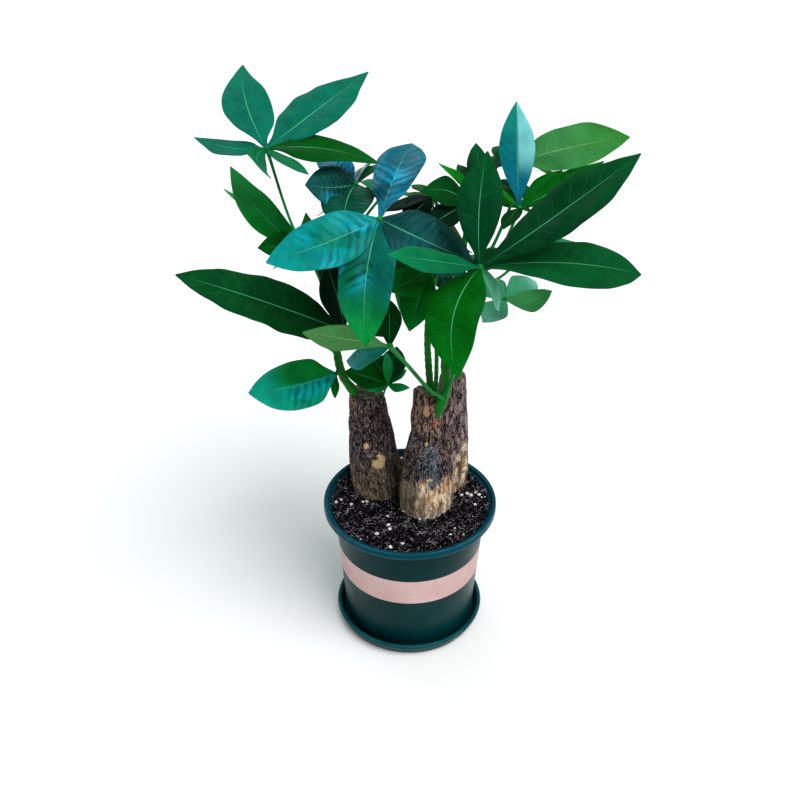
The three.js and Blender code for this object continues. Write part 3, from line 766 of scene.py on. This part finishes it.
def bark_colour(trunk, angle, height, place):
    """Colour of one spot of bark, and how far it is peeled."""
    x, y, z = place
    patch = lumps(x, y, z, 9, 20)
    small = lumps(x, y, z, 3.2, 9)
    colour = mix(BARK_BROWN, BARK_DARK, clamp(0.5 + 1.8 * patch + 0.5 * small))
    grey = ease(noise.noise((x / 12 + 7, y / 12, z / 26)) + 0.3 * small, 0.05, 0.5)
    colour = mix(colour, BARK_GREY, 0.45 * grey)
    red = ease(math.cos(angle - math.radians(-20)), 0.4, 0.98) * ease(patch, -0.35, 0.3)
    colour = mix(colour, BARK_RED, 0.5 * red)
    peel = 0.0
    low = height - (SOIL_TOP - TRUNK_BOTTOM)
    if trunk == "trunk_front":
        colour = mix(colour, BARK_TAN, 0.5 * ease(height, 118, 140))
        reach = 30 + 12 * small + 8 * patch - 12 * ease(around(angle, -90), 0.7, 1.6)
        peel = ease(reach - low, -2, 3)
        right = ease(math.cos(angle - math.radians(-60)), 0.35, 0.85)
        foot = mix(BARK_OLIVE, mix(PEELED, PEELED_ORANGE, ease(patch + 0.4 * small, -0.1, 0.35)), right)
        colour = mix(colour, foot, peel)
    if trunk == "trunk_left":
        colour = mix(colour, BARK_DARK, 0.45)
        olive = ease(28 - low + 8 * small, -16, 16)
        colour = mix(colour, BARK_OLIVE, 0.8 * olive)
        peel = 0.5 * olive
    if trunk == "trunk_back":
        colour = mix(colour, BARK_PALE, 0.47)
    for direction, level, wide, tall, scar, ragged, bare in SCARS[trunk]:
        turn = around(angle, direction) * SCAR_RADIUS / wide
        away = math.hypot(turn, (height - level) / tall) + ragged * (small + 0.4 * patch)
        mark = ease(away, 1.08, 0.92 - 0.2 * ragged)
        colour = mix(colour, scar, mark)
        peel = max(peel, bare * mark)
    return (*colour, peel)


def profile_path(profile):
    """Share of the way along a profile to its radius and height, evenly by length."""
    lengths = [0.0]
    for (r0, h0), (r1, h1) in zip(profile, profile[1:]):
        lengths.append(lengths[-1] + math.hypot(r1 - r0, h1 - h0))
    total = lengths[-1]
    radii = [(length / total, radius) for length, (radius, _) in zip(lengths, profile)]
    heights = [(length / total, height) for length, (_, height) in zip(lengths, profile)]
    return radii, heights


def trunk_axis(trunk, climb):
    return mix(trunk["foot"], trunk["head"], climb)


def torn_strip(trunk, direction, level, length, width, lean, curl, colour):
    """A thin pointed strip that is fast at its foot and curls away from the trunk."""
    piece = grid(STRIP_COLUMNS, STRIP_ROWS)
    profile = trunk["profile"]
    radius = between([(height, wide) for wide, height in profile[:-1]], level)
    middle = trunk_axis(trunk, level / profile[-1][1])
    angle = math.radians(direction)
    outward = Vector((math.cos(angle), math.sin(angle), 0))
    sideways = Vector((-math.sin(angle), math.cos(angle), 0))
    tilt = math.radians(lean)
    along = Vector((0, 0, math.cos(tilt))) + sideways * math.sin(tilt)
    across = outward.cross(along)
    start = Vector((*middle, TRUNK_BOTTOM + level)) + outward * radius
    places, tints = [], []
    for vertex in piece.data.vertices:
        share = (vertex.co.y + 1) / 2
        notched = 1 + 0.25 * math.sin(9 * share + direction)
        reach = vertex.co.x * width / 2 * (1 - share) ** 0.6 * notched
        lift = curl * length * share**2 - 0.4 - 0.5 * vertex.co.x**2
        places.append((start + along * (share * length) + outward * lift + across * reach) * MM)
        tints.append((*mix(colour, BARK_DARK, 0.5 * (1 - share) ** 3), 0.95))
    set_places(piece, places)
    set_tints(piece, "bark_tint", tints)
    apply_modifier(piece, "SOLIDIFY", thickness=STRIP_THICKNESS * MM, offset=0.0)
    coat(piece, BARK)
    return piece


def make_trunk(name):
    trunk = TRUNKS[name]
    piece = grid(TRUNK_COLUMNS, TRUNK_ROWS)
    radii, heights = profile_path(trunk["profile"])
    top = trunk["profile"][-1][1]
    twist = trunk["twist"]
    cut_share = radii[-2][0]
    places, tints = [], []
    for vertex in piece.data.vertices:
        angle = vertex.co.x * math.pi
        share = (vertex.co.y + 1) / 2
        radius = max(0.0, between(radii, share)) if 0 < share < 1 else 0.0
        height = between(heights, share)
        climb = height / top
        ridges = 0.03 * math.sin(5 * angle + twist + 2 * climb)
        ridges += 0.022 * math.sin(9 * angle + twist - 3 * climb)
        x, y = radius * (1 + ridges) * math.cos(angle), radius * (1 + ridges) * math.sin(angle)
        on_side = ease(cut_share - share, -0.01, 0.02) * ease(radius, 6, 12)
        plates = 1 - 2.4 * abs(lumps(x, y, height, 3.2, 15, twist))
        fibres = 1 - 2.0 * abs(lumps(x, y, height, 1.4, 6, twist))
        knots = lumps(x, y, height, 10, 13, twist)
        relief = on_side * (0.45 * plates + 0.4 * fibres + 0.8 * knots - 0.5)
        rings = (1 - on_side) * 0.12 * math.sin(radius * 3.2 + noise.noise((x / 4, y / 4, twist)))
        colour = bark_colour(name, angle, height, (x, y, height + 40 * twist))
        if share > cut_share:
            ring = 0.5 + 0.5 * math.sin(radius * 3.2 + 2 * noise.noise((x / 4, y / 4, twist)))
            colour = (*mix(mix(CUT_WOOD, PEELED, 0.25), BARK_DARK, 0.8 * (1 - ring)), 0.9)
        swell = (radius + relief) / radius if radius > 0 else 0
        x, y = x * swell, y * swell
        slant = ease(climb, 0.75, 1) * (trunk["lean"][0] * x + trunk["lean"][1] * y)
        middle = trunk_axis(trunk, climb)
        places.append(Vector((middle[0] + x, middle[1] + y, TRUNK_BOTTOM + height + slant + rings)) * MM)
        tints.append(colour)
    set_places(piece, places)
    set_tints(piece, "bark_tint", tints)
    merge_close(piece, distance=0.01)
    coat(piece, BARK)
    strips = [torn_strip(trunk, *strip) for strip in TORN[name]]
    whole = join([piece, *strips], name + "_bark")
    smooth(whole, angle=75)
    stands_for(whole, name)


for name in TRUNKS:
    make_trunk(name)


# Stems: round tubes along a smooth line, thicker at their joints


def cubic(x0, x1, x2, x3, d0, d1, d2, t):
    start = ((x1 - x0) / d0 - (x2 - x0) / (d0 + d1) + (x2 - x1) / d1) * d1
    end = ((x2 - x1) / d1 - (x3 - x1) / (d1 + d2) + (x3 - x2) / d2) * d1
    square = (3 * x2 - 3 * x1 - 2 * start - end) * t**2
    return x1 + start * t + square + (2 * x1 - 2 * x2 + start + end) * t**3


def on_line(points, share):
    """Place on the smooth line through the points."""
    p = [Vector(point) for point in points]
    spot = clamp(share) * (len(p) - 1)
    i = min(int(spot), len(p) - 2)
    before = p[i - 1] if i > 0 else 2 * p[0] - p[1]
    after = p[i + 2] if i + 2 < len(p) else 2 * p[-1] - p[-2]
    four = (before, p[i], p[i + 1], after)
    gaps = [max((b - a).length**0.5, 1e-4) for a, b in zip(four, four[1:])]
    return Vector(cubic(*values, *gaps, spot - i) for values in zip(*four))


SHOOT_STEPS = 110
SHOOT_SIDES = 5
SHOOT_JOINTS = 20
STALK_STEPS = 36
STALK_SIDES = 3
STALK_SWELL = [(0, 1.9), (0.05, 1.5), (0.12, 1.1), (0.5, 1), (0.9, 1), (0.97, 1.25), (1, 1.5)]

# Shoots as radius at the foot, radius at the tip, and route
SHOOTS = {
    "left": (4.0, 2.1, [
        (-43, 27, 210), (-56, 21, 235), (-60, 18, 260), (-60, 14, 289), (-56, 8, 322), (-50, 2, 347),
        (-44, 0, 366),
    ]),
    "right": (4.6, 2.0, [
        (19, -2, 211), (28.5, -8, 240), (27, -12, 262), (27, -12, 292), (32, -8, 328), (38, 2, 352),
        (41, 14, 372),
    ]),
    "middle": (3.2, 1.9, [
        (17, 7, 224), (14.5, 10, 250), (13, 12, 278), (14.5, 14, 306), (20, 20, 336), (24, 28, 358),
    ]),
    "thin": (1.9, 1.3, [(20, 3, 224), (20.5, 2, 250), (20, 1, 280), (19, 0, 308), (16, -3, 334)]),
    "back": (3.4, 2.0, [(35, 33, 222), (41, 34, 258), (46, 36, 290), (53, 36, 318), (60, 33, 338)]),
}


def tube(name, points, radii, finish, steps, sides):
    """A closed tube: radii are (share of the way, radius)."""
    curve = bpy.data.curves.new(name, "CURVE")
    curve.dimensions = "3D"
    curve.bevel_depth = MM
    curve.bevel_resolution = sides
    curve.use_fill_caps = True
    spline = curve.splines.new("POLY")
    spline.points.add(steps)
    for i, spot in enumerate(spline.points):
        spot.co = (*(on_line(points, i / steps) * MM), 1)
        spot.radius = between(radii, i / steps)
    lone_selection(placed(name, curve))
    bpy.ops.object.convert(target="MESH")
    piece = bpy.context.object
    merge_close(piece, distance=0.01)
    piece.data.materials.clear()
    coat(piece, finish)
    smooth(piece)
    return piece


def make_shoot(key):
    start, end, route = SHOOTS[key]
    joints = [(0, start * 1.04), (0.05, start * 1.1), (0.1, start)]
    for i in range(2, SHOOT_JOINTS):
        share = i / SHOOT_JOINTS + 0.01 * math.sin(5 * i)
        radius = start + (end - start) * share
        joints += [(share - 0.012, radius * 0.98), (share, radius * 1.08), (share + 0.012, radius * 0.98)]
    joints.append((1, end * 0.9))
    name = "shoot_" + key
    piece = tube(name + "_skin", route, joints, SHOOT_SKIN, SHOOT_STEPS, SHOOT_SIDES)
    stands_for(piece, name)


for key in SHOOTS:
    make_shoot(key)


# Leaves: the tones of their leaflets, as colour at the base, colour at the tip and gloss, which for glossy
# leaflets also sets the painted highlights and painted shade. Two have a third colour on the half to the
# right of the rib, from one share of the length to another.
TONES = {
    "matte_teal": ((1, 112, 88), (2, 116, 86), 0.15),
    "teal": ((2, 108, 62), (4, 132, 80), 0.35),
    "shaded_teal": ((1, 70, 46), (4, 90, 68), 0.6),
    "dark_blue": ((1, 58, 46), (2, 66, 66), 1.0),
    "deep": ((1, 62, 26), (2, 80, 32), 0.3),
    "long_deep": ((1, 66, 20), (2, 72, 28), 0.3),
    "bright_deep": ((4, 86, 36), (2, 84, 34), 0.3),
    "night": ((1, 58, 8), (2, 76, 14), 0.3),
    # Near black: painted shade for leaflets deep inside the crown
    "black": ((1, 24, 4), (1, 34, 6), 0.2),
    "ink": ((1, 58, 54), (2, 56, 42), 0.68),
    "mid": ((1, 80, 8), (2, 96, 16), 0.25),
    "fresh": ((1, 92, 2), (1, 108, 14), 0.3),
    "lime": ((1, 122, 1), (2, 140, 4), 0.3),
    "blue": ((1, 74, 92), (2, 106, 124), 1.0),
    "cyan": ((1, 128, 106), (2, 160, 158), 0.85),
    "cyan_to_green": ((1, 100, 84), (1, 146, 32), 0.8),
    "green_to_cyan": ((4, 174, 128), (12, 190, 162), 0.85, (2, 134, 22), 0.0, 0.65),
    "split_cyan": ((4, 106, 124), (16, 148, 116), 0.4, (126, 212, 208), 0.4, 1.2),
    "sunny": ((6, 136, 40), (56, 180, 92), 0.25),
    "sprout": ((8, 142, 60), (34, 172, 104), 0.5),
    "glade": ((3, 112, 18), (8, 136, 50), 0.3),
    "mist": ((66, 160, 112), (124, 202, 182), 0.2),
    "misty_green": ((66, 154, 84), (18, 100, 30), 0.2),
    "pale_back": ((62, 166, 92), (34, 156, 8), 0.2),
    "olive_back": ((54, 122, 62), (60, 126, 64), 0.2),
}

# Leaflet outlines, base to tip, as share of length and share of half width
OUTLINES = {
    "oval": [(0, 0.06), (0.12, 0.24), (0.3, 0.72), (0.52, 1), (0.7, 0.88), (0.87, 0.46), (1, 0.02)],
    "lance": [(0, 0.06), (0.1, 0.26), (0.25, 0.8), (0.42, 1), (0.62, 0.86), (0.82, 0.42), (1, 0.02)],
    "spoon": [(0, 0.06), (0.15, 0.26), (0.35, 0.72), (0.58, 0.97), (0.75, 1), (0.9, 0.62), (1, 0.02)],
    "small": [(0, 0.1), (0.26, 0.66), (0.54, 1), (0.82, 0.6), (1, 0.03)],
    "broad": [(0, 0.06), (0.08, 0.36), (0.24, 0.88), (0.46, 1), (0.7, 0.87), (0.88, 0.45), (1, 0.02)],
}

# Fronds as the shoot that carries each, the place on it, the stalk's radius, its route to the hub, and
# its leaflets. A leaflet is heading from +X, rise, length, width, roll, tone, arch upward, and where they
# aren't nought and "small", its bow to the right and its outline.
FRONDS = {
    "upper_left": ("left", 0.52, 1.1, [(-72, 9, 333), (-88, 6, 372), (-103, 10, 427)], [
        (108, 26, 94, 36, 0, "matte_teal", 2, -6, "lance"),
        (51, 18, 115, 41, 15, "matte_teal", 1, 1, "lance"),
        (160, 3, 59, 21, -15, "matte_teal", -2, -4, "lance"), (7, -9, 82, 30, 20, "mid", 5, -1, "lance"),
        (-43, -10, 45, 14, -5, "teal", 0, 1), (-78, -8, 46, 18, -45, "teal", -4, 8),
    ]),
    "far_left": ("left", 0.46, 1.1, [(-68, 26, 305), (-78, 35, 339)], [
        (158, 42, 90, 28, -25, "sunny", -1, -9, "oval"), (146, 21, 96, 22, 5, "sunny", -2, 2, "lance"),
        (-150, 16, 45, 26, -45, "mid", 2, 1), (100, 14, 56, 15, 0, "mid", -1, 0, "lance"),
        (-18, -42, 50, 24, 40, "night", 2, 0, "oval"),
    ]),
    "center": ("left", 0.7, 1.4, [(-42, -12, 352), (-30, -28, 378), (-22, -35, 392)], [
        (-162, -15, 83, 38, -40, "cyan", 3, -4, "broad"),
        (-98, -48, 90, 38, 0, "cyan_to_green", 4, 4, "broad"),
        (74, 22, 84, 35, 0, "blue", 2, -1, "spoon"), (-14, -20, 70, 38, 35, "ink", 2, 2, "broad"),
    ]),
    "inner_left": ("left", 0.97, 1.2, [(-42, 8, 382), (-41, 15, 400)], [
        (-149, 9, 40, 31, -50, "dark_blue", 1, -3, "broad"),
        (-99, -21, 45, 37, 0, "shaded_teal", 2, 2, "broad"),
        (126, 10, 58, 23, -20, "blue", 3, 0, "lance"), (84, -4, 65, 20, -40, "dark_blue", 3),
        (66, 2, 58, 20, -15, "mid", 2),
    ]),
    "long_leaf": ("left", 0.34, 1.3, [(-66, 7, 270), (-63, -10, 287), (-50, -20, 298)], [
        (-165, 27, 131, 46, -25, "long_deep", 1, 1, "broad"), (-35, 12, 40, 18, 0, "fresh", 2),
        (140, 72, 54, 32, 0, "black", 2, 0, "oval"),
    ]),
    "low_center": ("right", 0.13, 1.6, [(16, -22, 247), (-2, -44, 282), (-15, -60, 307)], [
        (-157, 21, 68, 27, 65, "olive_back", 2, 2, "oval"), (149, -30, 45, 24, -30, "cyan", 0, -2),
        (92, 32, 40, 18, 0, "night", 1),
    ]),
    "low_left": ("left", 0.24, 1.1, [(-61, 11, 243)], [
        (-162, -4, 72, 43, -35, "green_to_cyan", 2, -4, "broad"), (-94, -60, 20, 7, 0, "fresh", 1),
    ]),
    "sprig": ("trunk_left", (-24, 26, 208), 0.9, [(-22, 24, 219), (-19, 22, 227)], [
        (-145, 6, 21, 8, -20, "sprout", 0, -2), (-34, 12, 22, 9, 30, "sprout", 0, 2),
        (108, 84, 29, 10, 20, "sprout", 1), (-173, 23, 38, 22, -40, "mid", 2),
        (130, 38, 34, 22, 0, "mid", 1), (74, 42, 34, 24, 0, "deep", 1), (38, 22, 21, 9, 20, "sprout", 1),
    ]),
    "right": ("right", 0.16, 1.5, [(31, -24, 257), (36, -44, 292), (44, -66, 346), (45, -75, 374)], [
        (84, 55, 78, 30, 0, "deep", 4, -3, "oval"), (11, 35, 123, 40, 20, "deep", 1, 3, "oval"),
        (0, -2, 106, 39, 25, "bright_deep", 4, -3, "spoon"),
        (-161, 16, 66, 25, -20, "teal", 1, -2, "oval"), (-108, -50, 74, 35, 0, "fresh", 4, 10, "broad"),
        (40, -60, 44, 16, 60, "mist", 2),
    ]),
    "upper_right": ("back", 0.98, 1.3, [(68, 34, 358), (76, 34, 384), (78, 32, 412)], [
        (-10, 16, 80, 33, -80, "pale_back", 2, 1, "broad"), (66, -6, 52, 19, 20, "mid", 2),
        (176, -14, 40, 20, 0, "deep", 2), (120, 5, 34, 18, -15, "mid", 1),
        (40, -25, 46, 20, 0, "mid", 2),
    ]),
    "tip_right": ("back", 0.9, 1.2, [(66, 18, 345), (73, 12, 366), (78, 8, 385)], [
        (94, 60, 77, 26, 0, "split_cyan", 2, -1, "oval"), (26, 20, 76, 24, 25, "fresh", 0, 2, "lance"),
        (40, 24, 48, 20, 35, "fresh", 0, 2), (-122, -16, 26, 17, 20, "night", 2, -2),
        (150, 30, 36, 26, 10, "lime", 2),
    ]),
    "lower_right": ("right", 0.62, 1.1, [(48, -12, 312), (71, -5, 318)], [
        (8, 9, 36, 19, 35, "misty_green", -1, 5), (-132, -18, 28, 21, -15, "mist", 1, -1),
        (48, 3, 40, 23, 25, "mist", 3, -1), (150, 26, 25, 18, -30, "mist", 1),
        (120, 12, 32, 20, 0, "mist", 2),
    ]),
    "top_back": ("back", 0.84, 1.2, [(54, 48, 345), (53, 62, 376)], [
        (94, 44, 46, 18, 0, "deep", 2), (116, 22, 40, 16, 0, "deep", 1),
        (-152, 40, 48, 13, -40, "lime", 1, -1, "lance"), (66, 28, 49, 20, -20, "deep", 3, -1),
        (36, -6, 58, 22, 30, "deep", 3), (-20, -10, 44, 20, 0, "fresh", 2),
    ]),
    "inner_right": ("right", 0.98, 1.0, [(42, 26, 372), (41, 35, 378)], [
        (-149, 24, 42, 23, -60, "night", 4, 4), (-132, -8, 48, 21, -30, "black", 2),
    ]),
    "inner_top": ("middle", 0.98, 1.0, [(18, 40, 366), (15, 50, 379)], [
        (-134, -28, 34, 23, -20, "black", 2), (112, -2, 38, 14, 0, "mid", 1),
        (27, -60, 62, 25, 0, "black", 1), (-165, -12, 38, 22, 0, "black", 1),
    ]),
    "inner_center": ("right", 0.74, 1.0, [(40, -18, 343)], [
        (180, 38, 50, 34, -50, "ink", 3, 0, "oval"), (20, 30, 34, 18, 20, "night", 1),
    ]),
    "under_center": ("thin", 0.9, 1.1, [(12, -5, 343)], [
        (-112, -44, 50, 28, 0, "glade", 2, -1), (-141, -8, 40, 27, -30, "glade", 0, -3),
        (165, -68, 50, 32, -60, "glade", 3, 1), (172, -12, 38, 28, -20, "night", 1),
    ]),
}

# The back of the crown: fronds that fan out backward, and two leaflets that reach in
BACK_FRONDS = [
    ("left", 0.6, [(-64, 46, 318), (-62, 74, 330)], 122, []),
    ("left", 0.9, [(-36, 38, 366), (-24, 70, 372)], 95, []),
    ("middle", 0.72, [(10, 56, 318), (4, 92, 324)], 104, [
        (-48, -36, 60, 26, 0, "deep", 2), (-119, -24, 46, 22, 0, "deep", 1),
    ]),
    ("back", 0.5, [(50, 62, 290), (48, 96, 304)], 80, []),
    ("back", 0.68, [(72, 50, 312), (92, 64, 326)], 42, []),
]
BACK_FAN = [(-78, 58), (-38, 70), (2, 78), (40, 68), (80, 56)]
BACK_WIDTH = 0.38
BACK_TONES = ["mid", "teal", "deep", "fresh", "mid", "teal", "deep"]

for order, (carrier, at, route, heading, inward) in enumerate(BACK_FRONDS):
    fan = [
        (heading + turn, -8 - 5 * ((i + order) % 3), length, length * BACK_WIDTH, 6 * (i - 2),
         BACK_TONES[(2 * i + order) % len(BACK_TONES)], 4)
        for i, (turn, length) in enumerate(BACK_FAN)
    ]
    FRONDS[f"back_{order + 1}"] = (carrier, at, 1.2, route, fan + inward)


# The sheet that every leaflet is shaped from
BLANK = grid(ROWS_ACROSS, ROWS_ALONG)


def shape_leaflet(name, hub, heading, rise, length, width, roll, tone, arch, bow=0, outline="small"):
    piece = copy_of(BLANK, name)
    turn, climb = math.radians(heading), math.radians(rise)
    forward = Vector((math.cos(climb) * math.cos(turn), math.cos(climb) * math.sin(turn), math.sin(climb)))
    up = (Vector((0, 0, 1)) - forward * forward.z).normalized()
    side = forward.cross(up)
    tilt = Quaternion(forward, math.radians(roll))
    up.rotate(tilt)
    side.rotate(tilt)
    phase = heading + length
    base, tip, gloss, *right = TONES[tone]
    base, tip = paint(*base), paint(*tip)
    stations = OUTLINES[outline]
    places, tints = [], []
    for vertex in piece.data.vertices:
        across = vertex.co.x
        along = (vertex.co.y + 1) / 2
        # Gloss, which also sets how strong the painted highlights are, fades toward the tip
        gloss_and_highlight = gloss * (1 - 0.35 * ease(along, 0.5, 0.85))
        half = max(0.015, between(stations, along))
        bend = 4 * along * (1 - along)
        reach = across * half * width / 2
        swing = math.sin(WAVES_ALONG * along + across + phase)
        ripple = across**2 * half * width * BLADE_WAVE * swing
        crease = BLADE_FOLD * (math.sqrt(reach * reach + 0.8) - 0.9)
        droop = EDGE_DROOP * width * half * across**4
        spot = Vector((reach / 11, along * length / 15, phase))
        crumple = noise.noise(spot) * BLADE_CRUMPLE * width * half * min(1, 3 * abs(across))
        height = arch * bend + crease + ripple - droop + crumple - TIP_SAG * along**4
        place = hub + forward * (along * length) + side * (reach + bow * bend) + up * height
        places.append(place * MM)
        patch = clamp(0.5 + 0.9 * noise.noise(Vector((reach / 16, along * length / 26, phase + 5))))
        shade = mix(base, tip, clamp(ease(along, 0.35, 1.0) * 0.8 + 0.3 * (patch - 0.5)))
        shade = mix(shade, tuple(0.72 * c for c in shade), 0.7 * patch * (1 - ease(along, 0.7, 1)))
        if right:
            colour, low, high = right
            reached = ease(along, low - 0.15, low + 0.15) * (1 - ease(along, high - 0.15, high + 0.15))
            share = 0.9 * reached * ease(across, 0.0, 0.08)
            shade = mix(shade, paint(*colour), share)
            gloss_and_highlight *= 1 - 0.5 * share
        tints.append((*shade, gloss_and_highlight * (0.8 + 0.4 * patch)))
    set_places(piece, places)
    set_tints(piece, "leaf_tint", tints)
    coat(piece, LEAF_TOP, LEAF_UNDERSIDE, LEAF_GLOSSY)
    for face in piece.data.polygons:
        face.material_index = GLOSSY_TOP if gloss > GLOSSY_FROM else PLAIN_TOP
    return piece


def stalk_start(carrier, at, route):
    if carrier not in SHOOTS:
        return Vector(at)
    start, end, line = SHOOTS[carrier]
    middle = on_line(line, at)
    along = (on_line(line, at + 0.001) - on_line(line, at - 0.001)).normalized()
    outward = Vector(route[0]) - middle
    outward = (outward - along * outward.dot(along)).normalized()
    return middle + outward * (start + (end - start) * at - SOCKET_DEPTH)


def make_frond(name, carrier, at, thickness, route, blades):
    hub = Vector(route[-1])
    leaves = [shape_leaflet(f"{name}_leaflet_{i}", hub, *blade) for i, blade in enumerate(blades)]
    foliage = join(leaves, name + "_leaves")
    # Each underside goes one slot after its top, so the glossy top has an underside of its own
    coat(foliage, LEAF_UNDERSIDE, STALK_SKIN)
    apply_modifier(foliage, "SOLIDIFY", thickness=BLADE_THICKNESS * MM, offset=0.0, material_offset=1,
                   use_rim=True)
    smooth(foliage, angle=70)
    line = [tuple(stalk_start(carrier, at, route)), *route]
    radii = [(share, thickness * swell) for share, swell in STALK_SWELL]
    stalk = tube(name + "_stalk", line, radii, STALK_SKIN, STALK_STEPS, STALK_SIDES)
    knob = added(bpy.ops.mesh.primitive_uv_sphere_add, segments=16, ring_count=10,
                 radius=(thickness * 1.35 + 0.5) * MM, location=hub * MM)
    bpy.ops.object.transform_apply()
    coat(knob, STALK_SKIN)
    smooth(knob)
    whole = join([foliage, stalk, knob], name + "_leaf")
    stands_for(whole, name)


for key, frond in FRONDS.items():
    make_frond("frond_" + key, *frond)

bpy.data.objects.remove(BLANK)


# Floor, light and camera


def make_floor():
    floor = added(bpy.ops.mesh.primitive_plane_add, size=FLOOR_SIZE, location=FLOOR_MIDDLE)
    floor.name = "studio_floor"
    finish = Finish("studio_floor", (0.9, 0.9, 0.9), 0.8)
    coat(floor, finish.material)


def add_lamp(name, kind, energy, turn, place=(0, 0, 0)):
    lamp = bpy.data.lights.new(name, kind)
    lamp.energy = energy
    placed(name, lamp, place, turn.to_euler())
    return lamp


def make_light():
    world = bpy.data.worlds.new("studio")
    world.use_nodes = True
    sky = world.node_tree.nodes["Background"]
    sky.inputs["Color"].default_value = SKY_COLOUR
    sky.inputs["Strength"].default_value = SKY_STRENGTH
    bpy.context.scene.world = world
    sun = add_lamp("soft_sun", "SUN", SUN_ENERGY, SUN_FROM.to_track_quat("Z", "Y"))
    sun.angle = math.radians(SUN_SPREAD)
    facing = (WINDOW_AIM - WINDOW_PLACE).to_track_quat("-Z", "Y")
    window = add_lamp("window", "AREA", WINDOW_POWER, facing, WINDOW_PLACE)
    window.shape = "RECTANGLE"
    window.size, window.size_y = WINDOW_SIZE
    window.color = WINDOW_COLOUR


def make_camera():
    lens = bpy.data.cameras.new("camera")
    lens.lens = CAMERA_LENS
    lens.sensor_width = SENSOR_WIDTH
    turn = (math.radians(CAMERA_TILT), 0, math.radians(CAMERA_TURN))
    bpy.context.scene.camera = placed("camera", lens, CAMERA_PLACE, turn)


make_floor()
make_light()
make_camera()
bpy.context.scene.view_settings.view_transform = "Standard"
